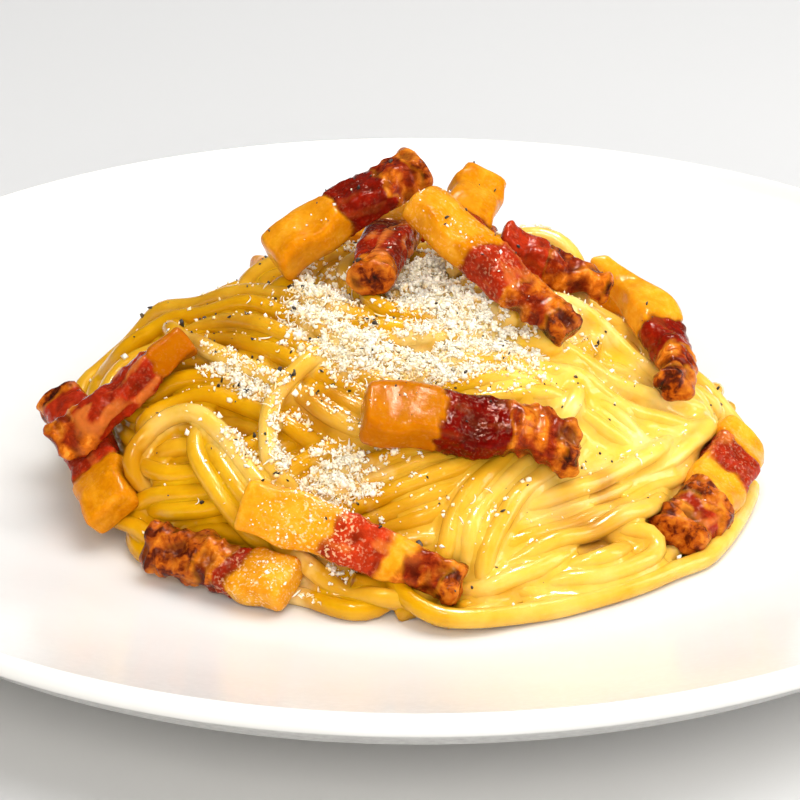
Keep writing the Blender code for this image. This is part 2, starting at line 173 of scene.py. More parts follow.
def unit(v):
    return v / np.maximum(np.linalg.norm(v, axis=-1, keepdims=True), 1e-9)


def level_set(points, tris, voxel, ex, inn):
    """Signed distance of a closed mesh as a level-set grid, in mm."""
    tr = vdb.createLinearTransform(voxelSize=voxel)
    g = vdb.FloatGrid.createLevelSetFromPolygons(
        np.ascontiguousarray(points, np.float32), triangles=np.ascontiguousarray(tris, np.uint32),
        transform=tr, exBandWidth=ex / voxel, inBandWidth=inn / voxel)
    return g


def grid_array(g, voxel, lo, hi):
    i0 = np.floor(np.array(lo) / voxel).astype(int)
    n = np.ceil(np.array(hi) / voxel).astype(int) - i0 + 1
    a = np.zeros(n, np.float32)
    g.copyToArray(a, ijk=tuple(int(v) for v in i0))
    return a, i0 * voxel


def sample(field, lo, voxel, p, grad=False):
    """Trilinear value, and gradient if asked, of a grid at points p."""
    q = (p - lo) / voxel
    n = np.array(field.shape)
    q = np.clip(q, 0.001, n - 1.001)
    i = q.astype(int)
    f = q - i
    c = [[[field[i[:, 0] + a, i[:, 1] + b, i[:, 2] + e] for e in (0, 1)] for b in (0, 1)] for a in (0, 1)]
    fx, fy, fz = f.T
    def mix(u, v, w):
        return u * (1 - w) + v * w
    x00, x01 = mix(c[0][0][0], c[1][0][0], fx), mix(c[0][0][1], c[1][0][1], fx)
    x10, x11 = mix(c[0][1][0], c[1][1][0], fx), mix(c[0][1][1], c[1][1][1], fx)
    y0, y1 = mix(x00, x10, fy), mix(x01, x11, fy)
    v = mix(y0, y1, fz)
    if not grad:
        return v
    gz = (y1 - y0)
    gy = mix(x10 - x00, x11 - x01, fz)
    z0 = mix(c[0][0][0], c[0][0][1], fz); z1 = mix(c[1][0][0], c[1][0][1], fz)
    z2 = mix(c[0][1][0], c[0][1][1], fz); z3 = mix(c[1][1][0], c[1][1][1], fz)
    gx = mix(z1 - z0, z3 - z2, fy)
    return v, np.stack([gx, gy, gz], -1) / voxel


def plate_z(r):
    """Height of the plate's upper face at radius r, in mm."""
    k = np.clip((r - 66.0) / 44.0, 0, None)
    return 5.0 + 14.1 * k ** 1.45


def dome_mesh(d=0.0, nphi=96, nt=36, relief=None):
    ph = np.linspace(0, 2 * np.pi, nphi, endpoint=False)
    ts = 1 - (1 - np.linspace(0, 1, nt + 1)[1:]) ** 1.5
    P = dome(ph[None, :], ts[:, None], d)
    pts = [P.reshape(-1, 3)]
    top = dome(0.0, 0.0, d)
    tris = []
    def q(i, j):
        return i * nphi + j % nphi
    for i in range(nt - 1):
        for j in range(nphi):
            a, b, c, e = q(i, j), q(i + 1, j), q(i + 1, j + 1), q(i, j + 1)
            tris += [(a, b, c), (a, c, e)]
    n = nt * nphi
    for j in range(nphi):
        tris.append((n, q(0, j), q(0, j + 1)))
        tris.append((n + 1, q(nt - 1, j + 1), q(nt - 1, j)))
    foot = np.array([P[-1, :, 0].mean(), P[-1, :, 1].mean(), Z0])
    return np.vstack([pts[0], top, foot]), np.array(tris)


def strip_frame(spec):
    """Ends, axis, side and up of a guanciale strip, as the CAD has them, in mm."""
    _, a, b, la, lb, w, th, roll, bow, rise = spec
    p0 = np.array([a[0], a[1], float(heap_height(*a)) + la])
    p1 = np.array([b[0], b[1], float(heap_height(*b)) + lb])
    axis = unit(p1 - p0)
    m = (p0 + p1) / 2
    e = 2.0
    nx = float(heap_height(m[0] - e, m[1]) - heap_height(m[0] + e, m[1]))
    ny = float(heap_height(m[0], m[1] - e) - heap_height(m[0], m[1] + e))
    up = unit(np.array([nx * 0.8, ny * 0.8, 2 * e]))
    up = unit(up - axis * (up @ axis))
    side = unit(np.cross(up, axis))
    r = math.radians(roll)
    return p0, p1, axis, side * math.cos(r) + up * math.sin(r), up * math.cos(r) - side * math.sin(r)


FRAMES = [strip_frame(s) for s in STRIPS]


def strip_local(i, p):
    """(u, s, t, centre) of points p in strip i: u -1..1 along, s and t in mm across."""
    _, _, _, _, _, w, th, _, bow, rise = STRIPS[i]
    p0, p1, axis, side, up = FRAMES[i]
    half = np.linalg.norm(p1 - p0) / 2
    m = (p0 + p1) / 2
    u = (p - m) @ axis / half
    arch = 1 - np.clip(u, -1, 1) ** 2
    s = (p - m) @ side - bow * arch
    t = (p - m) @ up - rise * arch
    return u, s, t, half


# ------------------------------------------------------------------ strands
def spline(pts, step):
    """Points every step mm on a smooth curve through pts (Catmull-Rom)."""
    pts = np.asarray(pts, float)
    p = np.vstack([2 * pts[0] - pts[1], pts, 2 * pts[-1] - pts[-2]])
    out = []
    for i in range(1, len(p) - 2):
        t = np.linspace(0, 1, 12, endpoint=False)[:, None]
        a, b, c, d = p[i - 1], p[i], p[i + 1], p[i + 2]
        out.append(0.5 * (2 * b + (c - a) * t + (2 * a - 5 * b + 4 * c - d) * t ** 2 + (3 * b - a - 3 * c + d) * t ** 3))
    q = np.vstack(out + [pts[-1:]])
    s = np.concatenate([[0], np.cumsum(np.linalg.norm(np.diff(q, axis=0), axis=1))])
    n = max(4, int(round(s[-1] / step)))
    u = np.linspace(0, s[-1], n + 1)
    return np.stack([np.interp(u, s, q[:, k]) for k in range(3)], -1)


def prepare_shell():
    pts, tris = dome_mesh()
    g = level_set(pts, tris, 1.0, 14, 20)
    a, lo = grid_array(g, 1.0, (-80, -80, -8), (80, 80, 62))
    return a, lo


SHELL, SHELL_LO = prepare_shell()


def to_depth(p, depth, n=5):
    """Move points along the outline's normal until they lie depth mm inside it."""
    p = p.copy()
    for _ in range(n):
        v, g = sample(SHELL, SHELL_LO, 1.0, p, True)
        p -= unit(g) * (v + depth)[:, None]
    return p


def route_points(route):
    """A front strand's way in space at the middle of its layer."""
    name, rank, pts = route
    base = []
    for q in pts:
        p = dome(math.radians(q[0]), q[1], 1.55)
        if q[1] > 1.0:
            p[2] = plate_z(math.hypot(p[0], p[1])) + STRAND_R
        elif len(q) > 2:
            n = unit(dome(math.radians(q[0]), q[1], 0.0) - np.array([0, 0, 5.0]))
            p = p + np.array([0, 0, 1.0]) * q[2]
        base.append(p)
    return np.array(base)


# strands that arch clear of the heap behind the strips at its top, in mm
ARCHES = [          # (x, y, height over the outline)
    ("S1", ((4, 17, -2.6), (9, 15.5, -1.6), (13.3, 13.5, -0.9), (15.4, 14, -0.4), (17.9, 14.5, 2.6), (20.9, 14.5, 4.5),
            (23.9, 13.3, 5.0), (26.3, 10.8, 3.6), (27.4, 7, 0.8), (27.2, 2, -1.2), (26, -4, -1.4), (22.5, -10, -1.5),
            (17, -15, -1.6), (10, -19, -1.6))),
    ("S2", ((8, 20, -2.8), (13, 17, -1.8), (15.8, 15.8, -1.2), (18.4, 15.6, -0.5), (21.2, 15.0, 0.0), (23.8, 12.8, -0.3),
            (25.6, 9.2, -1.2), (28.4, 4, -1.6), (30.4, -2, -1.6), (29.4, -9, -1.6), (26.0, -15, -1.6), (20, -20, -1.6))),
    ("S3", ((-2, -1, -1.6), (-6.5, -5, -1.0), (-8.6, -10.5, -0.6), (-7.0, -15.5, -0.5), (-2.0, -18.4, -0.8), (4, -18.4, -1.2),
            (10, -15.6, -1.4), (15, -11, -1.5), (18, -5, -1.6))),
]

OPEN_END = {"I1": (0, 1)}      # strands whose cut end shows: (start, end)
LIFT = {0: 3.4, 1: 1.1, 2: -1.7, 3: -4.2}   # starting depth of each layer
REST = {0: 4.2, 1: 1.6, 2: 0.2, 3: -1.2}


def front_strands():
    out = []
    for route in ROUTES:
        name, rank, pts = route
        base = route_points(route)
        ends = OPEN_END.get(name, (0, 0))
        line = spline(base, 2.0)
        out_d = np.full(len(line), LIFT[rank])
        hold = np.full(len(line), 0.06)
        # carry each hidden end on a little and down into the heap
        for side in (0, 1):
            if ends[side]:
                continue
            p, d, h = (line, out_d, hold) if side else (line[::-1], out_d[::-1], hold[::-1])
            tan = unit(p[-1] - p[-4])
            n = 7
            k = np.arange(1, n + 1)
            low = math.hypot(p[-1, 0], p[-1, 1]) > 46
            ext = p[-1] + tan * (k[:, None] * 2.0)
            ext[:, :2] *= (1 - (0.045 if low else 0.018) * k)[:, None]
            de = d[-1] + (k / n) ** 1.2 * (6.6 - d[-1] * 0.3)
            p = np.vstack([p, ext])
            d = np.concatenate([d, de])
            h = np.concatenate([h, 0.08 + 0.22 * k / n])
            line, out_d, hold = (p, d, h) if side else (p[::-1], d[::-1], h[::-1])
        lift = line[:, 2].copy()
        v = sample(SHELL, SHELL_LO, 1.0, line)
        far = v > 0.4                      # loops standing off the heap and strands on the plate
        start = line.copy()
        moved = to_depth(line, 0.0)
        v2, g2 = sample(SHELL, SHELL_LO, 1.0, moved, True)
        start = moved - unit(g2) * out_d[:, None]
        start[far] = line[far] + np.array([0, 0, 1.0]) * max(0.0, -LIFT[rank])
        goal = moved - unit(g2) * np.maximum(REST[rank], out_d - LIFT[rank] + REST[rank])[:, None]
        goal[far] = line[far]
        out.append(dict(name=name, rank=rank, x=start, goal=goal, hold=hold, hero=True))
    for name, pts in ARCHES:
        pts = np.array(pts, float)
        pts[:, 2] += heap_height(pts[:, 0], pts[:, 1])
        x = spline(pts, 2.0)
        v = sample(SHELL, SHELL_LO, 1.0, x)
        out.append(dict(name=name, rank=1, x=x, goal=x.copy(), hold=np.where(v > 0, 0.35, 0.10), hero=True))
    return out


def nest_strands():
    """The twirl at the top, wound round under the guanciale, and the coil at the foot."""
    out = []
    for j in range(9):
        s = np.linspace(0, 1, 30)
        turn = 1.15 + 0.35 * math.sin(j * 1.7)
        phi = math.radians(60 + 137 * j) + turn * 2 * math.pi * s
        t = 0.07 + 0.050 * j + 0.05 * s + 0.015 * np.sin(5 * s + j)
        line = spline(dome(phi, t, 1.55), 2.0)
        d = np.full(len(line), 1.5 + 0.8 * (j % 2))
        e = np.minimum(np.arange(len(line)), np.arange(len(line))[::-1])
        d += np.clip(1 - e / 6.0, 0, 1) * 4
        out.append((line, d))
    for j, (a0, a1, t0, t1) in enumerate([(-158, -62, 0.985, 0.99), (-100, -28, 1.0, 0.985), (-135, -48, 0.965, 0.97),
                                          (10, 130, 0.985, 0.985), (95, 200, 0.985, 0.98), (60, 160, 0.965, 0.97)]):
        s = np.linspace(0, 1, 30)
        phi = np.radians(a0 + (a1 - a0) * s)
        t = t0 + (t1 - t0) * s + 0.012 * np.sin(6 * s + j)
        line = spline(dome(phi, t, 1.55), 2.0)
        d = np.full(len(line), 1.55)
        e = np.minimum(np.arange(len(line)), np.arange(len(line))[::-1])
        d += np.clip(1 - e / 6.0, 0, 1) * 4
        out.append((line, d))
    res = []
    for line, d in out:
        _, g = sample(SHELL, SHELL_LO, 1.0, line, True)
        x = line - unit(g) * (d - 1.55)[:, None]
        res.append(dict(name="nest", rank=1, x=x, goal=x.copy(), hold=np.full(len(x), 0.03), hero=False))
    return res


def surface_samples(n=2400):
    pts = []
    nt = 26
    for i in range(nt):
        t = (i + 0.5) / nt
        m = max(4, int(n * 2 * t / nt))
        ph = (np.arange(m) + 0.5 * (i % 2)) / m * 2 * np.pi
        pts.append(dome(ph, np.full(m, t), 1.55))
    return np.vstack(pts)


def cover(samples, pts, r=2.0):
    d2 = (samples ** 2).sum(1)[:, None] + (pts ** 2).sum(1)[None] - 2 * samples @ pts.T
    return (d2 < r * r).any(1)


def bundle(r, k, direction, depth, lo_t=(0.2, 0.9), size=1.0):
    """k strands lying side by side on a sweep that climbs the heap and comes down again."""
    phi0 = r.uniform(0, 2 * math.pi)
    span = r.uniform(1.5, 3.0) * direction * size
    tmin = r.uniform(*lo_t)
    t_in, t_out = r.uniform(0.9, 1.0), r.uniform(0.88, 1.0)
    p = r.uniform(0.55, 1.0)
    s = np.linspace(0, 1, 44)
    skew = s ** r.uniform(0.75, 1.35)
    ends = t_in * (1 - s) + t_out * s
    t = ends - (ends - tmin) * np.sin(math.pi * skew) ** p
    t = t + 0.03 * np.sin(2 * math.pi * s * r.uniform(1, 2.5) + r.uniform(0, 6))
    t = np.clip(t, 0.06, 1.0)
    phi = phi0 + span * s
    mid = spline(dome(phi, t, 1.55)[::3], 2.0)
    _, g = sample(SHELL, SHELL_LO, 1.0, mid, True)
    nrm = unit(g)
    tan = unit(np.gradient(mid, axis=0))
    across = unit(np.cross(nrm, tan))
    out = []
    f = np.linspace(0, 1, len(mid))
    spread = 1 + 0.22 * np.sin(f * r.uniform(2, 7) + r.uniform(0, 6))
    for j in range(k):
        off = (j - (k - 1) / 2) * 3.15
        cut0, cut1 = r.integers(0, 5), r.integers(0, 5)
        line = mid + across * (off * spread + 0.25 * np.sin(f * 9 + j * 2.1 + phi0))[:, None]
        line = to_depth(line, 1.55)
        line = line[cut0:len(line) - cut1]
        n = len(line)
        e = np.minimum(np.arange(n), np.arange(n)[::-1])
        dive = np.clip(1 - e / 5.0, 0, 1) ** 1.4 * 3.2
        out.append((line, dive + depth))
    return out


def fill_strands(front):
    """Cover what the front strands leave open: an under layer, then the sides and back."""
    r = np.random.default_rng(11)
    samples = surface_samples()
    strands = []
    # under layer, wound the other way
    done = np.zeros(len(samples), bool)
    for it in range(26):
        best, gain = None, -1e9
        for _ in range(12):
            f = it / 26
            b = bundle(r, int(r.integers(4, 8) * (1 - 0.5 * f)), -1 if r.random() < 0.75 else 1, 6.0, (0.15, 0.92),
                       1 - 0.5 * f)
            pts = np.vstack([q for q, _ in b])
            c = cover(samples, pts, 2.2)
            sc = (c & ~done).sum() - 0.55 * (c & done).sum()
            if sc > gain:
                best, gain, cb = b, sc, c
        if gain < 12:
            continue
        done |= cb
        strands += [dict(name="under", rank=-1, line=q, depth=d, hold=np.full(len(q), 0.015), hero=False)
                    for q, d in best]
    cover_under = done.mean()
    # top layer
    hero = np.vstack([s["goal"] for s in front if s["rank"] >= 1])
    done = cover(samples, hero, 2.2)
    n_top = 0
    for it in range(40):
        best, gain = None, -1e9
        for _ in range(18):
            f = it / 40
            b = bundle(r, int(r.integers(3, 8) * (1 - 0.5 * f)), 1 if r.random() < 0.8 else -1, 1.4, (0.12, 0.93),
                       1 - 0.55 * f)
            pts = np.vstack([q for q, _ in b])
            c = cover(samples, pts, 2.2)
            sc = (c & ~done).sum() - 0.7 * (c & done).sum()
            if sc > gain:
                best, gain, cb = b, sc, c
        if gain < 5:
            continue
        done |= cb
        layer = 0.35 * (it % 3)
        for q, d in best:
            near = ((q ** 2).sum(1)[:, None] + (hero ** 2).sum(1)[None] - 2 * q @ hero.T).min(1)
            k = np.clip((4.2 - np.sqrt(np.maximum(near, 0))) / 2.5, 0, 1)
            strands.append(dict(name="top", rank=1, line=q, depth=np.maximum(d - layer, 0.9) + 2.6 * k,
                                hold=np.full(len(q), 0.02), hero=False))
            n_top += 1
    print("cover under %.2f top %.2f, strands %d + %d" % (cover_under, done.mean(), len(strands) - n_top, n_top))
    out = []
    for s in strands:
        v, g = sample(SHELL, SHELL_LO, 1.0, s["line"], True)
        x = s["line"] - unit(g) * (s["depth"] - 1.55)[:, None]
        s["x"], s["goal"] = x, x.copy()
        out.append(s)
    return out


def settle(strands, steps=260):
    X = np.vstack([s["x"] for s in strands])
    A = np.vstack([s["goal"] for s in strands])
    sid = np.concatenate([np.full(len(s["x"]), i) for i, s in enumerate(strands)])
    idx = np.concatenate([np.arange(len(s["x"])) for s in strands])
    hold = np.concatenate([s["hold"] for s in strands])
    hero = np.concatenate([np.full(len(s["x"]), s["hero"]) for s in strands])
    N = len(X)
    link = np.where(sid[1:] == sid[:-1])[0]          # i - i+1
    rest = np.linalg.norm(X[link + 1] - X[link], axis=1)
    rest = np.clip(rest, 1.7, 2.2)
    tri = np.where((sid[2:] == sid[1:-1]) & (sid[1:-1] == sid[:-2]))[0] + 1
    R2 = 2 * STRAND_R * 0.97
    core_d = 10.0                                    # strand middles stay this shallow or shallower
    pairs = None
    for it in range(steps):
        if it % 12 == 0:
            lim = (R2 + 1.3) ** 2
            ii, jj = [], []
            XX = X.astype(np.float32)
            sq = (XX ** 2).sum(1)
            for a in range(0, N, 1500):
                d2 = sq[a:a + 1500, None] + sq[None] - 2 * XX[a:a + 1500] @ XX.T
                p, q = np.where(d2 < lim)
                p = p + a
                k = (q > p) & ((sid[p] != sid[q]) | (np.abs(idx[p] - idx[q]) > 3))
                ii.append(p[k]); jj.append(q[k])
            I, J = np.concatenate(ii), np.concatenate(jj)
            v, g = sample(SHELL, SHELL_LO, 1.0, X, True)
            nrm = unit(g)
        k = it / steps
        # towards the goal, freely up and down
        d = (A - X) * (hold * (1.0 if k < 0.8 else 0.4))[:, None]
        dn = (d * nrm).sum(1)
        d -= nrm * (dn * np.where(hero, 0.75, 0.5))[:, None]
        X = X + d - nrm * 0.035
        # contact
        dv = X[J] - X[I]
        L = np.linalg.norm(dv, axis=1)
        hit = L < R2
        if hit.any():
            a, b = I[hit], J[hit]
            u = dv[hit] / np.maximum(L[hit], 1e-6)[:, None]
            push = u * ((R2 - L[hit]) * 0.42)[:, None]
            acc = np.stack([np.bincount(b, push[:, c], N) - np.bincount(a, push[:, c], N) for c in range(3)], -1)
            cnt = np.bincount(a, minlength=N) + np.bincount(b, minlength=N)
            X += acc / np.maximum(1, cnt * 0.45)[:, None]
        # core, plate and ceiling
        v, g = sample(SHELL, SHELL_LO, 1.0, X, True)
        nrm = unit(g)
        deep = -v - core_d
        X += nrm * (np.clip(deep, 0, 1.0) * 0.6)[:, None]
        floor = plate_z(np.hypot(X[:, 0], X[:, 1])) + STRAND_R + 0.05
        X[:, 2] = np.maximum(X[:, 2], np.where(X[:, 2] < floor, X[:, 2] * 0.4 + floor * 0.6, X[:, 2]))
        # guanciale presses the strands under it
        for i in range(len(STRIPS)):
            u, s, t, half = strip_local(i, X)
            w, th = STRIPS[i][5] / 2, STRIPS[i][6] / 2
            m = (np.abs(u) < 1 + 1.2 / half) & (np.abs(s) < w + 1.2) & (t > -(th + 1.45)) & (t < th + 1.0)
            if m.any():
                side, up = FRAMES[i][3], FRAMES[i][4]
                down = (t[m] + th + 1.45)
                out = w + 1.2 - np.abs(s[m])
                use_side = (out < down * 0.6)
                mv = np.where(use_side[:, None], side * (np.sign(s[m]) * out)[:, None], -up * down[:, None])
                X[m] += np.clip(mv, -0.5, 0.5) * 0.5
        # the hollows stay clear of the hidden strands
        for x, y, z, r in HOLLOWS:
            dv = X - np.array([x, y, z])
            L = np.linalg.norm(dv, axis=1)
            m = (L < r + 1.2) & (~hero)
            if m.any():
                X[m] += dv[m] / np.maximum(L[m], 0.1)[:, None] * np.clip((r + 1.2 - L[m]) * 0.3, 0, 0.5)[:, None]
        # smooth, then keep the length
        X[tri] += ((X[tri - 1] + X[tri + 1]) / 2 - X[tri]) * 0.22
        for par in (0, 1, 0, 1):
            l = link[(idx[link] % 2) == par]
            r0 = rest[(idx[link] % 2) == par]
            dv = X[l + 1] - X[l]
            L = np.maximum(np.linalg.norm(dv, axis=1), 1e-6)
            c = dv * ((L - r0) / L * 0.5)[:, None]
            X[l] += c
            X[l + 1] -= c
    res = []
    k = 0
    for s in strands:
        n = len(s["x"])
        p = X[k:k + n].copy()
        k += n
        for _ in range(2):
            p[1:-1] += ((p[:-2] + p[2:]) / 2 - p[1:-1]) * 0.4
        res.append(p)
    return res


# ------------------------------------------------------------------ noise
def smooth01(a, b, x):
    k = np.clip((x - a) / (b - a), 0, 1)
    return k * k * (3 - 2 * k)


def wave_noise(p, scale, seed, n=5):
    """Cheap smooth noise about -1..1 at points p (mm): a few crossed waves."""
    r = np.random.default_rng(seed)
    v = 0
    for _ in range(n):
        d = unit(r.normal(size=3)) * r.uniform(0.7, 1.4) * 2 * np.pi / scale
        v = v + np.sin(p @ d + r.uniform(0, 6.28) + 0.8 * np.sin(p @ (d[[1, 2, 0]] * 0.7) + r.uniform(0, 6.28)))
    return v / (n ** 0.5 * 1.1)


# ------------------------------------------------------------------ meshes
def add_mesh(name, verts_mm, faces, mat=None, smooth=True):
    """New object from points in mm and a list or array of equal-sided faces."""
    verts = np.asarray(verts_mm, np.float64) * MM
    me = bpy.data.meshes.new(name)
    if isinstance(faces, np.ndarray):
        n, k = faces.shape
        me.vertices.add(len(verts))
        me.vertices.foreach_set("co", verts.ravel().astype(np.float32))
        me.loops.add(n * k)
        me.loops.foreach_set("vertex_index", faces.ravel().astype(np.int32))
        me.polygons.add(n)
        me.polygons.foreach_set("loop_start", (np.arange(n) * k).astype(np.int32))
        me.polygons.foreach_set("loop_total", np.full(n, k, np.int32))
        me.update(calc_edges=True)
    else:
        me.from_pydata([tuple(v) for v in verts], [], [tuple(f) for f in faces])
    me.validate()
    if smooth:
        me.polygons.foreach_set("use_smooth", np.ones(len(me.polygons), bool))
    o = bpy.data.objects.new(name, me)
    bpy.context.scene.collection.objects.link(o)
    if mat:
        me.materials.append(mat)
    return o


def attr(o, name, values):
    v = np.asarray(values, np.float32)
    if v.ndim == 1:
        a = o.data.attributes.new(name, "FLOAT", "POINT")
        a.data.foreach_set("value", v)
    else:
        a = o.data.attributes.new(name, "FLOAT_VECTOR", "POINT")
        a.data.foreach_set("vector", v.ravel())


def resample(p, step):
    s = np.concatenate([[0], np.cumsum(np.linalg.norm(np.diff(p, axis=0), axis=1))])
    n = max(3, int(round(s[-1] / step)))
    u = np.linspace(0, s[-1], n + 1)
    # smooth cubic through the settled points
    m = np.gradient(p, s, axis=0)
    i = np.clip(np.searchsorted(s, u, side="right") - 1, 0, len(s) - 2)
    h = (s[i + 1] - s[i])[:, None]
    t = ((u - s[i])[:, None]) / h
    return ((2 * t ** 3 - 3 * t ** 2 + 1) * p[i] + (t ** 3 - 2 * t ** 2 + t) * h * m[i]
            + (-2 * t ** 3 + 3 * t ** 2) * p[i + 1] + (t ** 3 - t ** 2) * h * m[i + 1])


def tubes(lines, radii, seg=12, step=1.7, seed=3):
    """One closed round strand per line, its radius breathing a little along the way."""
    r = np.random.default_rng(seed)
    V, F, AL, SI, RN = [], [], [], [], []
    base = 0
    ang = np.arange(seg) / seg * 2 * np.pi
    for li, (line, rad) in enumerate(zip(lines, radii)):
        p = resample(line, step)
        n = len(p)
        tan = unit(np.gradient(p, axis=0))
        ref = np.array([0.0, 0, 1.0])
        u = unit(np.cross(tan[0], ref) if abs(tan[0] @ ref) < 0.95 else np.cross(tan[0], [1.0, 0, 0]))
        U = [u]
        for k in range(1, n):
            u = U[-1] - tan[k] * (U[-1] @ tan[k])
            U.append(unit(u))
        U = np.array(U)
        W = np.cross(tan, U)
        s = np.linspace(0, 1, n) * n * step
        a, b = r.uniform(0, 6.28, 2)
        rr = rad * (1 + 0.030 * np.sin(s / 7.3 + a) + 0.022 * np.sin(s / 2.9 + b))
        e = np.minimum(np.arange(n), np.arange(n)[::-1])
        rr = rr * np.where(e == 0, 0.80, 1.0)
        ell = 1 + 0.03 * np.sin(s / 11 + b)
        ring = (p[:, None] + (U[:, None] * (np.cos(ang)[None, :, None] * ell[:, None, None])
                              + W[:, None] * (np.sin(ang)[None, :, None] / ell[:, None, None])) * rr[:, None, None])
        V.append(ring.reshape(-1, 3))
        i = np.arange(n - 1)[:, None] * seg + np.arange(seg)[None]
        j = np.arange(n - 1)[:, None] * seg + (np.arange(seg)[None] + 1) % seg
        q = np.stack([i, i + seg, j + seg, j], -1).reshape(-1, 4) + base
        tri = np.concatenate([q[:, [0, 2, 1]], q[:, [0, 3, 2]]])
        # ends: a dimple-free cap
        c0, c1 = n * seg + base, n * seg + 1 + base
        V.append(np.array([p[0] - tan[0] * rad * 0.12, p[-1] + tan[-1] * rad * 0.12]))
        k = np.arange(seg)
        tri = np.concatenate([tri, np.stack([np.full(seg, c0), base + k, base + (k + 1) % seg], -1),
                              np.stack([np.full(seg, c1), base + (n - 1) * seg + (k + 1) % seg,
                                        base + (n - 1) * seg + k], -1)])
        F.append(tri)
        AL.append(np.concatenate([np.repeat(s, seg), [s[0], s[-1]]]))
        RN.append(np.full(n * seg + 2, r.random()))
        base += n * seg + 2
    return np.vstack(V), np.vstack(F).astype(np.int32), np.concatenate(AL), np.concatenate(RN)


# ------------------------------------------------------------------ guanciale
_perm = np.random.default_rng(99).permutation(256)
_perm = np.concatenate([_perm, _perm, _perm])
_grad = unit(np.random.default_rng(98).normal(size=(256, 3)))


def perlin(p, scale, seed=0):
    """Gradient noise, about -0.8..0.8, with features the size of scale (mm)."""
    q = p / scale + seed * np.array([17.13, 9.71, 31.37])
    i = np.floor(q).astype(int)
    f = q - i
    w = f * f * f * (f * (f * 6 - 15) + 10)
    i &= 255
    def corner(a, b, c):
        h = _perm[_perm[_perm[i[..., 0] + a] + i[..., 1] + b] + i[..., 2] + c]
        return (_grad[h] * (f - np.array([a, b, c]))).sum(-1)
    def mix(x, y, k):
        return x + (y - x) * k
    wx, wy, wz = w[..., 0], w[..., 1], w[..., 2]
    x00, x10 = mix(corner(0, 0, 0), corner(1, 0, 0), wx), mix(corner(0, 1, 0), corner(1, 1, 0), wx)
    x01, x11 = mix(corner(0, 0, 1), corner(1, 0, 1), wx), mix(corner(0, 1, 1), corner(1, 1, 1), wx)
    return mix(mix(x00, x10, wy), mix(x01, x11, wy), wz) * 1.4


# How each strip is fried: where along it (-1 fat end .. 1 browned end) each zone begins
# (F fat, M meat, B browned, C char), its width at the browned end, twist, and fat tone.
FRY = {
    1: dict(z=[(-1, "F"), (-0.12, "M"), (0.50, "B"), (0.84, "C")], end=1.02, twist=-14, tone=0.35, knob=0.9, bright=0.15),
    2: dict(z=[(-1, "F"), (-0.40, "B"), (-0.18, "M"), (0.66, "B"), (0.86, "C")], end=0.88, twist=12, tone=0.5, knob=0.8, vein=0.9, frost=0.35, bright=0.5),
    3: dict(z=[(-1, "F"), (-0.16, "M"), (0.34, "B"), (0.80, "C")], end=0.74, twist=16, tone=0.3, knob=0.8, vein=0.5, frost=0.45, bright=0.7),
    4: dict(z=[(-1, "F"), (0.28, "M"), (0.7, "B")], end=1.0, twist=0, tone=0.2, knob=0.3, bright=0.4),
    5: dict(z=[(-1, "M"), (-0.15, "B"), (0.86, "C")], end=0.85, twist=-20, tone=0.3, knob=0.8, bright=0.75),
    6: dict(z=[(-1, "F"), (0.02, "M"), (0.52, "B"), (0.84, "C")], end=0.78, twist=-34, tone=1.0, knob=1.1, start=0.46, hook=3.0, bright=0.2),
    7: dict(z=[(-1, "F"), (-0.30, "M"), (0.36, "B"), (0.82, "C")], end=0.86, twist=6, tone=-0.62, knob=1.0, bright=0),
    8: dict(z=[(-1, "F"), (-0.56, "M"), (-0.12, "F"), (0.34, "C"), (0.60, "M"), (0.78, "C")], end=0.90, twist=12, tone=0.8, knob=1.0, vein=0.8, frost=0.3, bright=0.6),
    9: dict(z=[(-1, "F"), (-0.52, "M"), (0.56, "B")], end=1.10, twist=-56, tone=-1.0, knob=1.2, start=0.66, waist=0.78, vein=0.75, bright=0.55),
    10: dict(z=[(-1, "F"), (-0.36, "M"), (0.86, "C")], end=0.9, twist=8, tone=0.1, knob=0.9, vein=0.3, bright=0.7),
    11: dict(z=[(-1, "F"), (-0.34, "M"), (-0.14, "B"), (0.16, "C")], end=0.88, twist=-10, tone=0.8, knob=0.9, frost=1.6, frost_at=(-0.72, 0.5), bright=0.5),
    12: dict(z=[(-1, "F"), (-0.16, "M"), (0.32, "F"), (0.50, "B"), (0.86, "C")], end=0.72, twist=-8, tone=0.85, knob=0.9, vein=0.7, frost=2.0, frost_at=(-0.30, 0.34), bright=1),
    13: dict(z=[(-1, "F"), (-0.2, "M"), (0.4, "B"), (0.78, "C")], end=0.85, twist=10, tone=0.4, knob=0.9, bright=0.4),
    14: dict(z=[(-1, "F"), (-0.35, "M"), (0.3, "B"), (0.8, "C")], end=0.85, twist=-14, tone=0.3, knob=0.9, bright=0.5),
    15: dict(z=[(-1, "F"), (-0.1, "M"), (0.45, "B"), (0.82, "C")], end=0.9, twist=18, tone=0.5, knob=0.9, bright=0.3),
}


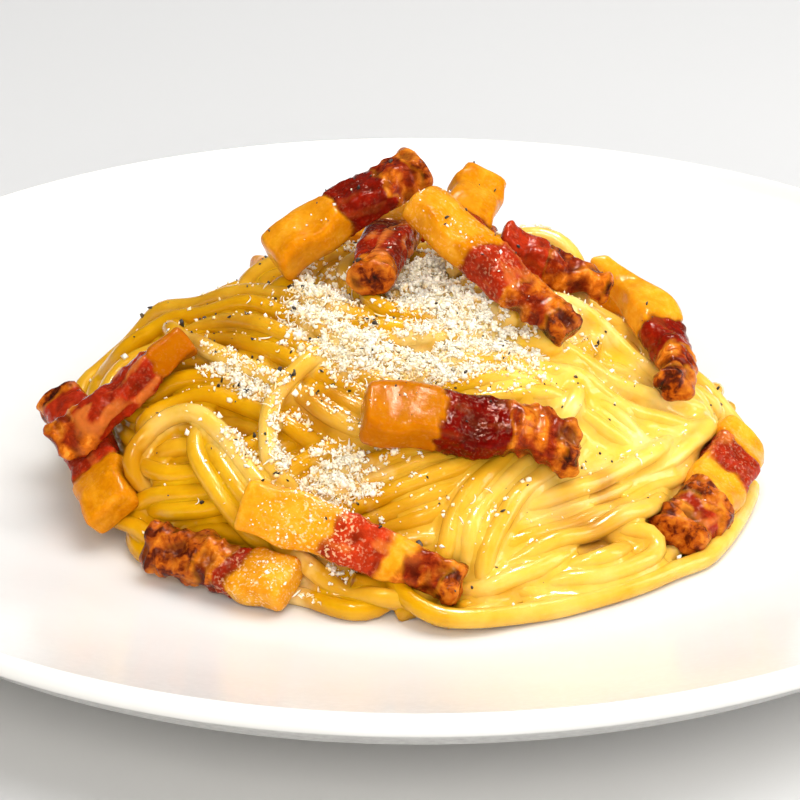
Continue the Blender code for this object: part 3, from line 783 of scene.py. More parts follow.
def strip_piece(n, nu=112, na=60):
    spec = STRIPS[n - 1]
    name, _, _, _, _, width, thick, _, bow, rise = spec
    fry = FRY[n]
    p0, p1, axis, side, up = FRAMES[n - 1]
    L = np.linalg.norm(p1 - p0)
    seed = sum(ord(c) for c in name) * 0.37
    rc = 0.9
    rows = []                                    # u in mm from the middle, inset mm, scale
    for th in np.linspace(90, 12, 6):
        rows.append((-L / 2 + rc - rc * math.sin(math.radians(th)), rc * (1 - math.cos(math.radians(th))), 1.0))
    body = np.linspace(-L / 2 + rc, L / 2 - rc, nu)
    rows += [(x, 0.0, 1.0) for x in body]
    rows += [(-x, i, s) for x, i, s in rows[:6][::-1]]
    face0 = [(rows[0][0] - 0.02 * k, rc, s) for k, s in enumerate((0.30, 0.62, 0.86))]
    face1 = [(-x, i, s) for x, i, s in face0[::-1]]
    rows = face0 + rows + face1
    R = np.array(rows)
    x = R[:, 0][:, None]
    inset, scale = R[:, 1][:, None], R[:, 2][:, None]
    u = x / (L / 2)
    k = (u + 1) / 2
    e = np.clip(np.abs(u) - 0.8, 0, None) / 0.2
    swell = 1 + 0.06 * np.sin(5.3 * k * np.pi + seed) + 0.04 * np.sin(9.1 * k * np.pi + 2 * seed)
    w_end = 1 + (fry["end"] - 1) * smooth01(-0.3, 0.9, u) + (fry.get("start", 1.0) - 1) * smooth01(-0.3, -0.8, u)
    w_end = w_end * (1 - (1 - fry.get("waist", 1.0)) * np.exp(-((u + 0.05) / 0.45) ** 2))
    hw = width / 2 * swell * (1 - 0.05 * e * e) * w_end - inset
    ht = thick / 2 * (2 - swell) * (1 - 0.05 * e * e) * (1 + (fry["end"] - 1) * 0.4 * smooth01(-0.3, 0.9, u)) - inset
    kinds = fry["z"]
    expo = 5.4 - 2.4 * smooth01(-0.5, 0.8, u)
    # section: evenly spread round a rounded box
    ang = np.arange(na) / na * 2 * np.pi
    ang = ang - 0.18 * np.sin(4 * ang)
    ca, sa = np.cos(ang)[None], np.sin(ang)[None]
    q = (np.abs(ca) ** expo + np.abs(sa) ** expo) ** (-1 / expo)
    s = ca * q * hw * scale
    t = sa * q * ht * scale
    tw = np.radians(fry["twist"]) * (u - 0.0) * 0.9
    s, t = s * np.cos(tw) - t * np.sin(tw), s * np.sin(tw) + t * np.cos(tw)
    arch = 1 - np.clip(u, -1, 1) ** 2
    wig = 0.35 * np.sin(u * 5 + seed) * smooth01(-0.6, 0.4, u)
    wig = wig - fry.get("hook", 0.0) * np.sign(side[0]) * smooth01(-0.45, -1.0, u) ** 2
    loc = np.stack([x + 0 * s, s + bow * arch + wig, t + rise * arch + 0.25 * np.sin(u * 7 + 2 * seed)], -1)
    nr = len(R)
    # zones, their borders a little slanted and wavy
    nz = loc.copy()
    wav = perlin(nz, 4.5, n) * 0.10 + perlin(nz, 1.7, n + 30) * 0.05
    slant = 0.05 * math.sin(seed * 3) * (s / hw)
    uu = u + wav + slant
    wts = {c: np.zeros_like(uu) for c in "FMBC"}
    soft = 0.035
    for zi, (z0, c) in enumerate(kinds):
        z1 = kinds[zi + 1][0] if zi + 1 < len(kinds) else 9
        w = smooth01(z0 - soft, z0 + soft, uu) if zi else np.ones_like(uu)
        if z1 < 9:
            w = w * (1 - smooth01(z1 - soft, z1 + soft, uu))
        wts[c] = np.maximum(wts[c], w)
    tot = sum(wts.values())
    for c in wts:
        wts[c] = wts[c] / np.maximum(tot, 1e-6)
    # bare normals of the section
    du = np.gradient(loc, axis=0)
    dv = np.roll(loc, -1, 1) - np.roll(loc, 1, 1)
    nrm = unit(np.cross(dv, du))
    out = loc.copy(); out[..., 0] = 0
    flip = np.sign((nrm * out).sum(-1).mean())
    nrm = nrm * flip
    nrm[:3] = [-1, 0, 0]
    nrm[-3:] = [1, 0, 0]
    # relief
    P = loc
    a1, a2, a3 = perlin(P, 5.0, n + 1), perlin(P, 2.6, n + 2), perlin(P, 1.3, n + 3)
    rid = 1 - np.abs(perlin(P * [1.6, 0.9, 0.9], 2.2, n + 4)) * 2.4
    peb = 1 - np.abs(perlin(P, 1.15, n + 5)) * 3
    crk = np.clip(np.abs(perlin(P, 3.2, n + 6)) * 5, 0, 1)
    F, M, B, C = (wts[c] for c in "FMBC")
    vein = smooth01(0.16, 0.36, perlin(P * [0.26, 1.0, 1.0], 2.0, n + 20)) * (M + 0.4 * B) * fry.get("vein", 0.12)
    d = F * (0.28 * a1 + 0.10 * a2 + 0.05 * a3) + 0.16 * vein
    fold = 1 - np.abs(perlin(P * [1.25, 0.8, 0.8], 3.3, n + 8)) * 2.6
    drop_ = np.clip(perlin(P, 1.55, n + 9) + 0.1, 0, 1)
    d = d + M * (0.42 * a1 + 0.30 * a2 + 0.12 * rid + 0.34 * drop_ - 0.20)
    d = d + B * (0.50 * a1 + 0.30 * a2 + 0.52 * fold + 0.20 * drop_ - 0.34)
    d = d + C * (0.75 * a1 + 0.60 * a2 + 0.62 * fold + 0.10 * rid + 0.25 * (crk - 1) - 0.05) * fry["knob"]
    # the lean draws in beside the fat
    edge = np.exp(-((uu - kinds[1][0]) / 0.03) ** 2) if len(kinds) > 1 else 0
    d = d - 0.28 * edge
    damp = np.ones(nr)
    damp[:3] = 0.6
    damp[-3:] = 0.8
    loc = loc + nrm * (d * damp[:, None])[..., None]
    W = (p0 + p1) / 2 + loc[..., 0:1] * axis + loc[..., 1:2] * side + loc[..., 2:3] * up
    V = W.reshape(-1, 3)
    c0, c1 = W[0].mean(0), W[-1].mean(0)
    V = np.vstack([V, c0, c1])
    i = np.arange(nr - 1)[:, None] * na + np.arange(na)[None]
    j = np.arange(nr - 1)[:, None] * na + (np.arange(na)[None] + 1) % na
    Q = np.stack([i, i + na, j + na, j], -1).reshape(-1, 4)
    T = np.vstack([Q[:, [0, 1, 2]], Q[:, [0, 2, 3]]])
    kk = np.arange(na)
    T = np.vstack([T, np.stack([np.full(na, nr * na), kk, (kk + 1) % na], -1),
                   np.stack([np.full(na, nr * na + 1), (nr - 1) * na + (kk + 1) % na, (nr - 1) * na + kk], -1)])
    # make sure faces look outwards
    tv = V[T]
    vol = (np.cross(tv[:, 0], tv[:, 1]) * tv[:, 2]).sum()
    if vol < 0:
        T = T[:, [0, 2, 1]]
    def flat(a):
        a = np.broadcast_to(a, (nr, na)).reshape(-1)
        return np.concatenate([a, [a[:na].mean(), a[-na:].mean()]])
    streak = smooth01(-0.15, 0.25, perlin(P * [1.0, 0.45, 0.45], 2.4, n + 7) + 0.12)
    corner = smooth01(0.35, 0.95, np.abs(np.sin(2 * ang)))[None]
    tone = np.clip(max(fry["tone"], 0) + 0.55 * perlin(P, 5.5, n + 40) + 0.16 - 0.30 * corner
                   - 0.45 * smooth01(0.16, 0.0, np.abs(uu - kinds[1][0])), 0, 1)
    if fry["tone"] < 0:                          # deeper than the darkest fat
        tone = fry["tone"] + 0.5 * tone
    fc, fw = fry.get("frost_at", (-0.4, 0.8))
    frost = fry.get("frost", 0.10) * np.exp(-((u - fc) / fw) ** 2)
    L3 = np.vstack([loc.reshape(-1, 3), loc[0].mean(0), loc[-1].mean(0)])
    return dict(V=V, T=T, fat=flat(F), meat=flat(M), brown=flat(B), char=flat(C), streak=flat(streak),
                relief=flat(d), vein=flat(vein), frost=flat(frost), bright=np.full(nr * na + 2, fry.get("bright", 0.0)),
                local=L3 + np.array([n * 40.0, 0, 0]), tone=flat(tone))


# ------------------------------------------------------------------ cheese and pepper
from mathutils.bvhtree import BVHTree

# Where the grated cheese fell, seen from above: middle, half sizes, angle, amount.
SNOW = [
    (-15.3, -10.2, 13.3, 5.2, 91, 0.90), (-9.3, -25.2, 6.8, 4.6, 156, 1.00), (2.3, -26.7, 9.6, 4.0, -179, 1.00),
    (10.4, -20.1, 8.0, 6.1, -174, 1.00), (1.0, -5.6, 11.0, 6.5, 91, 1.10), (5.4, -15.9, 7.6, 6.4, 149, 1.00),
    (16.5, -22.5, 4.4, 3.6, 47, 0.60), (-10.8, -41.9, 7.2, 4.4, 178, 0.85), (-13.3, -35.1, 4.2, 3.0, 164, 0.08),
    (-27.3, -23.9, 11.0, 1.9, 137, 0.75), (-20.8, -38.4, 6.6, 1.4, 93, 0.75), (-26.8, -37.3, 3.9, 1.4, 133, 0.55),
    (-2.6, -38.0, 6.0, 3.5, 172, 0.40), (-14.8, -50.4, 5.2, 3.4, 161, 0.60), (-20.6, -53.6, 5.0, 3.4, 161, 0.75),
    (-2.5, 1.7, 11.0, 2.0, 89, 0.40), (-14.8, -50.4, 5.2, 3.4, 161, 0.80), (-20.6, -53.6, 5.0, 3.4, 161, 0.90), (-8.0, 16.0, 9.0, 7.0, 30, 0.45), (9.0, 22.0, 12.0, 8.0, 150, 0.30),
]
DUST = [(-0.2, -30.0, 24.0, 19.0, -171, 0.10), (23.0, -7.4, 9.0, 5.0, 67, 0.16), (30.6, -10.2, 10.3, 5.0, 71, 0.10),
        (7.0, -48.3, 9.0, 6.0, -172, 0.07), (0.0, 0.0, 46.0, 46.0, 0, 0.025), (-30.0, -20.0, 12.0, 14.0, 20, 0.06)]


def snow_at(x, y, table=SNOW):
    v = 0
    for cx, cy, a, b, an, w in table:
        c, s = math.cos(math.radians(an)), math.sin(math.radians(an))
        u, t = ((x - cx) * c + (y - cy) * s) / a, (-(x - cx) * s + (y - cy) * c) / b
        v = np.maximum(v, w * np.exp(-0.9 * (u * u + t * t) ** 1.5))
    return v


ICO_V = unit(np.array([(-1, 1.618, 0), (1, 1.618, 0), (-1, -1.618, 0), (1, -1.618, 0), (0, -1, 1.618), (0, 1, 1.618),
                       (0, -1, -1.618), (0, 1, -1.618), (1.618, 0, -1), (1.618, 0, 1), (-1.618, 0, -1),
                       (-1.618, 0, 1)], float))
ICO_F = np.array([(0, 11, 5), (0, 5, 1), (0, 1, 7), (0, 7, 10), (0, 10, 11), (1, 5, 9), (5, 11, 4), (11, 10, 2),
                  (10, 7, 6), (7, 1, 8), (3, 9, 4), (3, 4, 2), (3, 2, 6), (3, 6, 8), (3, 8, 9), (4, 9, 5),
                  (2, 4, 11), (6, 2, 10), (8, 6, 7), (9, 8, 1)])


def random_turns(r, n):
    q = unit(r.normal(size=(n, 4)))
    w, x, y, z = q.T
    return np.stack([np.stack([1 - 2 * (y * y + z * z), 2 * (x * y - z * w), 2 * (x * z + y * w)], -1),
                     np.stack([2 * (x * y + z * w), 1 - 2 * (x * x + z * z), 2 * (y * z - x * w)], -1),
                     np.stack([2 * (x * z - y * w), 2 * (y * z + x * w), 1 - 2 * (x * x + y * y)], -1)], 1)


def chips(r, at, size, rough=0.28, flat=(0.55, 1.0)):
    """One irregular chip at every point."""
    n = len(at)
    s = np.stack([np.ones(n), r.uniform(*flat, n), r.uniform(*flat, n)], -1) * size[:, None]
    v = ICO_V[None] * (1 + r.uniform(-rough, rough, (n, 12, 1))) * s[:, None]
    v = np.einsum("nij,nkj->nki", random_turns(r, n), v) + at[:, None]
    f = ICO_F[None] + (np.arange(n) * 12)[:, None, None]
    return v.reshape(-1, 3), f.reshape(-1, 3)


OCT_V = np.array([(1, 0, 0), (-1, 0, 0), (0, 1, 0), (0, -1, 0), (0, 0, 1), (0, 0, -1)], float)
OCT_F = np.array([(0, 2, 4), (2, 1, 4), (1, 3, 4), (3, 0, 4), (2, 0, 5), (1, 2, 5), (3, 1, 5), (0, 3, 5)])


def grains(r, at, size):
    """Small broken grains: eight uneven facets each."""
    n = len(at)
    s = np.stack([r.uniform(0.8, 1.35, n), r.uniform(0.6, 1.1, n), r.uniform(0.5, 1.0, n)], -1) * size[:, None]
    v = OCT_V[None] * (1 + r.uniform(-0.3, 0.3, (n, 6, 1))) + r.normal(0, 0.16, (n, 6, 3))
    v = v * s[:, None]
    v = np.einsum("nij,nkj->nki", random_turns(r, n), v) + at[:, None]
    f = OCT_F[None] + (np.arange(n) * 6)[:, None, None]
    return v.reshape(-1, 3), f.reshape(-1, 3)


def shreds(r, at, length, thick):
    """Short curled shreds, three-sided, five steps long."""
    n, k = len(at), 6
    s = np.linspace(-0.5, 0.5, k)
    bend = r.uniform(-2.6, 2.6, n)
    ang = bend[:, None] * s[None]
    R = np.where(np.abs(bend) < 0.2, 0.2, bend)
    x = np.sin(ang) / R[:, None]
    y = (1 - np.cos(ang)) / R[:, None]
    z = r.uniform(-0.25, 0.25, n)[:, None] * s[None]
    mid = np.stack([x, y, z], -1) * length[:, None, None]
    nor = np.stack([-np.sin(ang), np.cos(ang), 0 * ang], -1)
    up = np.array([0, 0, 1.0])
    w = thick[:, None, None] * (1 - 0.75 * np.abs(2 * s) ** 2.5)[None, :, None]
    ring = np.stack([mid + w * (math.cos(a) * nor + 1.5 * math.sin(a) * up) for a in (0.3, 2.4, 4.5)], 2)
    V = ring.reshape(n, k * 3, 3)
    V = np.einsum("nij,nkj->nki", random_turns(r, n) , V) + at[:, None]
    f = []
    for i in range(k - 1):
        for a in range(3):
            b = (a + 1) % 3
            f += [(i * 3 + a, i * 3 + b, i * 3 + 3 + b), (i * 3 + a, i * 3 + 3 + b, i * 3 + 3 + a)]
    f += [(0, 2, 1), (k * 3 - 3, k * 3 - 2, k * 3 - 1)]
    f = np.array(f)[None] + (np.arange(n) * k * 3)[:, None, None]
    return V.reshape(-1, 3), f.reshape(-1, 3)


def drop(trees, xy, lean=None):
    """Where things falling on the food at xy come to rest: point, normal, which tree."""
    out = []
    for x, y in xy:
        best = None
        for ti, tree in enumerate(trees):
            hit = tree.ray_cast(Vector((x, y, 70.0)), Vector((0, 0, -1)))
            if hit[0] is not None and (best is None or hit[0].z > best[0][2]):
                best = (tuple(hit[0]), tuple(hit[1]), ti)
        out.append(best if best else ((x, y, -99.0), (0, 0, 1), -1))
    P = np.array([b[0] for b in out])
    N = np.array([b[1] for b in out])
    N = N * np.sign(N[:, 2:3] + 1e-9)
    return P, N, np.array([b[2] for b in out])


def scatter_xy(r, n, table, sharp=1.0):
    """n points drawn in proportion to a table's amount, or closer to its middles."""
    got = []
    have = 0
    top = max(t[5] for t in table)
    while have < n:
        x, y = r.uniform(-60, 60, 40000), r.uniform(-60, 60, 40000)
        k = r.random(40000) < (snow_at(x, y, table) / top) ** sharp
        got.append(np.stack([x[k], y[k]], -1))
        have += k.sum()
    return np.vstack(got)[:n]


def make_cheese(trees):
    r = np.random.default_rng(31)
    # clumps: a body with small grains and shreds stuck all over it
    P, N, which = drop(trees[:1], scatter_xy(r, 1950, SNOW))
    clear = np.array([(trees[1].find_nearest(Vector(q))[3] or 99) > 1.1 for q in P.tolist()])
    ok = (which == 0) & clear & (P[:, 2] > 7) & (N[:, 2] > 0.12 + 0.15 * r.random(len(P)))
    P, N = P[ok], N[ok]
    heavy = snow_at(P[:, 0], P[:, 1])
    big = np.clip(np.exp(r.normal(-0.42, 0.38, len(P))) * (0.62 + 0.5 * heavy), 0.3, 1.5)
    mid = P + N * (big * 0.25)[:, None] + np.array([0, 0, 1.0]) * (heavy ** 2 * r.random(len(P)) ** 1.6 * 0.9)[:, None]
    V0, F0 = chips(r, mid, big * 0.62, 0.25, (0.6, 0.9))
    k = np.clip((big * 11).astype(int), 4, 13)
    own = np.repeat(np.arange(len(P)), k)
    dirs = unit(r.normal(size=(len(own), 3)) + N[own] * 0.5)
    at = mid[own] + dirs * (big[own] * r.uniform(0.45, 1.05, len(own)))[:, None] * np.array([1.15, 1.15, 0.75])
    V1, F1 = grains(r, at, np.clip(np.exp(r.normal(-1.50, 0.32, len(own))), 0.10, 0.42))
    # loose grains
    P2, N2, w2 = drop(trees, np.vstack([scatter_xy(r, 3500, SNOW, 1.4), scatter_xy(r, 850, DUST)]))
    frosted = (snow_at(P2[:, 0], P2[:, 1]) > 0.3) & (P2[:, 1] < -46)
    ok = (w2 >= 0) & ((w2 == 0) | frosted | (r.random(len(P2)) < 0.02)) & (P2[:, 2] > 7) & (N2[:, 2] > 0.1)
    P2, N2, w2 = P2[ok], N2[ok], w2[ok]
    s2 = np.clip(np.exp(r.normal(-1.38, 0.42, len(P2))), 0.09, 0.60) * np.where(w2 == 0, 1.0, 0.55)
    V2, F2 = grains(r, P2 + N2 * (s2 * 0.4)[:, None], s2)
    # a few larger lumps on the open sauce
    P4, N4, w4 = drop(trees, scatter_xy(r, 90, DUST))
    ok4 = (w4 == 0) & (N4[:, 2] > 0.3) & (P4[:, 0] < 18)
    V4, F4 = chips(r, P4[ok4] + N4[ok4] * 0.15, r.uniform(0.32, 0.66, int(ok4.sum())), 0.25)
    P3, N3, w3 = drop(trees, np.vstack([scatter_xy(r, 760, SNOW), scatter_xy(r, 110, DUST)]))
    ok = (w3 == 0) & (N3[:, 2] > 0.2)
    P3, N3 = P3[ok], N3[ok]
    h3 = snow_at(P3[:, 0], P3[:, 1])
    V3, F3 = shreds(r, P3 + N3 * (0.3 + 1.3 * h3 * r.random(len(P3)))[:, None], r.uniform(0.9, 2.6, len(P3)),
                    r.uniform(0.07, 0.14, len(P3)))
    # sauce soaked in, and painted warm shade: the lower down in a clump the more
    high = ((V0.reshape(-1, 12, 3) - P[:, None]) * N[:, None]).sum(-1) / big[:, None]
    S0 = 1 - smooth01(0.05, 0.75, high)
    high = ((at - P[own]) * N[own]).sum(-1) / big[own]
    S1 = 1 - smooth01(-0.10, 0.60, high + r.normal(0, 0.12, len(at)))
    S2 = np.clip(r.uniform(-0.2, 0.65, len(P2)), 0, 1) * (w2 == 0)
    S3 = np.clip(r.uniform(-0.3, 0.6, len(P3)), 0, 1)
    S4 = r.uniform(0.1, 0.6, int(ok4.sum()))
    soak_and_shade = np.concatenate([S0.ravel(), np.repeat(S1, 6), np.repeat(S2, 6), np.repeat(S3, 18), np.repeat(S4, 12)])
    V, F, n = [], [], 0
    for v, f in ((V0, F0), (V1, F1), (V2, F2), (V3, F3), (V4, F4)):
        V.append(v)
        F.append(f + n)
        n += len(v)
    V, F = np.vstack(V), np.vstack(F)
    print("cheese clumps", len(P), "grains", len(own), "+", len(P2), "shreds", len(P3), "tris", len(F))
    return V, F, soak_and_shade, len(V0), len(F0)


def make_cheese_dust(trees, cv, cf):
    """The finest gratings, a soft fuzz over the clumps and the strands between them."""
    r = np.random.default_rng(37)
    lots = trees + [BVHTree.FromPolygons(cv.tolist(), cf.tolist())]
    P, N, w = drop(lots, np.vstack([scatter_xy(r, 13000, SNOW, 1.8), scatter_xy(r, 700, DUST)]))
    heavy = snow_at(P[:, 0], P[:, 1])
    ok = (w >= 0) & (P[:, 2] > 7) & ((w != 1) | (r.random(len(P)) < 0.010)) & (N[:, 2] > 0.05)
    P, N, heavy = P[ok], N[ok], heavy[ok]
    s = np.clip(np.exp(r.normal(-1.62, 0.34, len(P))), 0.09, 0.34)
    at = P + N * (s * 0.5)[:, None] + np.array([0, 0, 1.0]) * (heavy * r.random(len(P)) ** 2 * 0.5)[:, None]
    V, F = grains(r, at, s)
    soak_and_shade = np.where(w[ok] == 2, r.uniform(-0.3, 0.25, len(P)), r.uniform(0.0, 0.8, len(P)) * (w[ok] == 0))
    print("fine grains", len(P), "tris", len(F))
    return V, F, np.repeat(np.clip(soak_and_shade, 0, 1), 6)


def make_pepper(trees):
    r = np.random.default_rng(47)
    table = [(-2.0, -4.0, 44.0, 44.0, 0, 0.5), (0.0, -28.0, 22.0, 14.0, 0, 1.0), (-24.0, -22.0, 16.0, 18.0, 0, 0.9)]
    xy = scatter_xy(r, 640, table)
    P, N, w = drop(trees, xy)
    ok = (w >= 0) & (P[:, 2] > 7) & (N[:, 2] > 0.15) & ((w != 1) | (r.random(len(P)) < 0.5))
    P, N = P[ok], N[ok]
    size = np.clip(np.exp(r.normal(-1.40, 0.52, len(P))), 0.10, 0.72)
    V, F = chips(r, P + N * (size * 0.3)[:, None], size, 0.42, (0.28, 0.75))
    print("pepper", len(P), "tris", len(F))
    return V, F


# ------------------------------------------------------------------ sauce
def creamy(p, clear=True):
    """How thick the sauce lies at p: 0 on the left of the heap, 1 on the right."""
    x = p[..., 0] + 0.25 * np.minimum(p[..., 1], 10)
    x = x + 9 * smooth01(-15, -36, p[..., 1])
    w = smooth01(-16, 24, x + 9 * wave_noise(p, 24, 5)) * (0.80 + 0.20 * wave_noise(p, 15, 6))
    # the strands low on the right, and those round the back, keep clear of it
    for cx, cy, a, b, k in ((33, -44, 17, 11, 0.95), (20, 42, 26, 18, 0.6), (50, 12, 12, 18, 0.5)) if clear else ():
        w = w * (1 - k * np.exp(-((p[..., 0] - cx) / a) ** 2 - ((p[..., 1] - cy) / b) ** 2))
    return w


# Sauced pasta bulging up to the strips that lie across a dip: x, y, z, half sizes, angle.
BULGES = [(0.5, 33.0, 23.7, 10.0, 3.2, 2.6, 9), (13.5, -14.5, 35.3, 3.4, 2.4, 2.0, -32), (19.5, -18.2, 32.3, 3.4, 2.4, 2.0, -32),
          (-20.0, -3.4, 35.4, 3.4, 2.6, 2.1, 20), (7.0, -1.5, 38.7, 2.6, 2.6, 1.9, 0)]


def sauce_mesh(V, F, vox=0.60):
    tr = vdb.createLinearTransform(voxelSize=vox)
    band = 5.0 / vox
    def ls(p, t=None, q=None, ex=band, inn=band):
        kw = dict(transform=tr, exBandWidth=ex, inBandWidth=inn)
        if t is not None and len(t):
            kw["triangles"] = np.ascontiguousarray(t, np.uint32)
        if q is not None and len(q):
            kw["quads"] = np.ascontiguousarray(q, np.uint32)
        return vdb.FloatGrid.createLevelSetFromPolygons(np.ascontiguousarray(p, np.float32), **kw)
    lo, hi = np.array([-72.0, -70, -1]), np.array([70.0, 66, 56])
    g = ls(V, F)
    a, org = grid_array(g, vox, lo, hi)
    cp, ct = dome_mesh(7.0)
    c, _ = grid_array(ls(cp, ct, ex=band, inn=12 / vox), vox, lo, hi)
    base = np.minimum(a, c)
    idx = [org[k] + vox * np.arange(base.shape[k]) for k in range(3)]
    Xg, Yg = np.meshgrid(idx[0], idx[1], indexing="ij")
    def to_grid(arr, bg):
        gg = vdb.FloatGrid(bg)
        gg.transform = tr
        gg.copyFromArray(arr.astype(np.float32), ijk=tuple(int(round(v)) for v in org / vox))
        gg.gridClass = vdb.GridClass.LEVEL_SET
        return gg
    def closing(r):
        p, t, q = to_grid(base, 5.0).convertToPolygons(r, 0.0)
        b, _ = grid_array(ls(p, t, q), vox, lo, hi)
        return b + r
    c1 = closing(0.35)
    c2 = closing(1.25)
    P = np.stack([Xg, Yg, np.full_like(Xg, 20.0)], -1)
    w = creamy(P)[:, :, None]
    Z = idx[2][None, None, :]
    n3 = wave_noise(np.stack([Xg, Yg, 0 * Xg], -1), 9, 8)[:, :, None]
    n4 = wave_noise(np.stack([Xg, Yg, 0 * Xg], -1), 3.6, 9)[:, :, None]
    field = c1 * (1 - w) + c2 * w
    hole = np.zeros_like(field)
    for x, y, z, r in HOLLOWS:
        d = np.sqrt((Xg[:, :, None] - x) ** 2 + (Yg[:, :, None] - y) ** 2 + (Z - z) ** 2)
        hole = np.maximum(hole, smooth01(r, r * 0.55, d))
    field = field * (1 - hole) + c1 * hole
    thick = -0.34 + (0.36 + 0.17 * n3 + 0.10 * n4) * w - 0.8 * hole
    field = field - thick
    for x, y, z, r in HOLLOWS:
        d = np.sqrt((Xg[:, :, None] - x) ** 2 + (Yg[:, :, None] - y) ** 2 + (Z - z) ** 2)
        field = np.maximum(field, np.minimum(r * 0.9 - d, base * 0 + 5))
    for x, y, z, a, b, c, an in BULGES:
        ca, sa = math.cos(math.radians(an)), math.sin(math.radians(an))
        dx, dy = (Xg - x)[:, :, None], (Yg - y)[:, :, None]
        d = (np.sqrt(((dx * ca + dy * sa) / a) ** 2 + ((dy * ca - dx * sa) / b) ** 2 + ((Z - z) / c) ** 2) - 1) * c
        k = np.clip(0.5 + (field - d) / 2.0, 0, 1)
        field = field * (1 - k) + d * k - k * (1 - k)
    field = np.maximum(field, 5.35 - Z)           # flat on the plate
    # cheese half melted into the top lies as a soft lumpy crust
    sn = snow_at(Xg, Yg)[:, :, None]
    lump = perlin(np.stack([Xg, Yg, 0 * Xg], -1), 1.9, 3)[:, :, None]
    field = field - smooth01(0.35, 0.95, sn) * (0.30 + 0.60 * lump)
    p, t, q = to_grid(field, 5.0).convertToPolygons(0.0, 0.0)
    return p, t, q


def open_bottom(p, q):
    """Replace the fine grid of a flat underside by one coarse fan."""
    low = (p[q][:, :, 2] < WELL_Z + 0.62).all(1)
    n = np.cross(p[q[:, 2]] - p[q[:, 0]], p[q[:, 3]] - p[q[:, 1]])
    flat = low & (np.abs(unit(n)[:, 2]) > 0.97)
    keep = q[~flat]
    e = np.vstack([keep[:, [0, 1]], keep[:, [1, 2]], keep[:, [2, 3]], keep[:, [3, 0]]]).astype(np.int64)
    key = e[:, 0] * len(p) + e[:, 1]
    rev = e[:, 1] * len(p) + e[:, 0]
    rim = e[~np.isin(key, rev)]
    mid = np.array([[0.0, 0.0, WELL_Z + 0.35]])
    fan = np.stack([rim[:, 1], rim[:, 0], np.full(len(rim), len(p))], -1)
    pts = np.vstack([p, mid])
    tri = np.vstack([keep[:, [0, 1, 2]], keep[:, [0, 2, 3]], fan])
    used = np.zeros(len(pts), bool)
    used[tri.ravel()] = True
    idx = np.cumsum(used) - 1
    return pts[used], idx[tri]


def keep_outer(p, q, t):
    """Only the largest joined piece of a mesh (quads and triangles)."""
    n = len(p)
    lab = np.arange(n)
    e = np.vstack([q[:, [0, 1]], q[:, [1, 2]], q[:, [2, 3]], q[:, [3, 0]]] + ([t[:, [0, 1]], t[:, [1, 2]]] if len(t) else []))
    e = e.astype(np.int64)
    while True:
        m = np.minimum(lab[e[:, 0]], lab[e[:, 1]])
        new = lab.copy()
        np.minimum.at(new, e[:, 0], m)
        np.minimum.at(new, e[:, 1], m)
        new = new[new]
        if (new == lab).all():
            break
        lab = new
    big = np.bincount(lab, minlength=n).argmax()
    k = lab == big
    idx = np.cumsum(k) - 1
    q = q[k[q[:, 0]]]
    t = t[k[t[:, 0]]] if len(t) else t
    return p[k], idx[q], (idx[t] if len(t) else t)


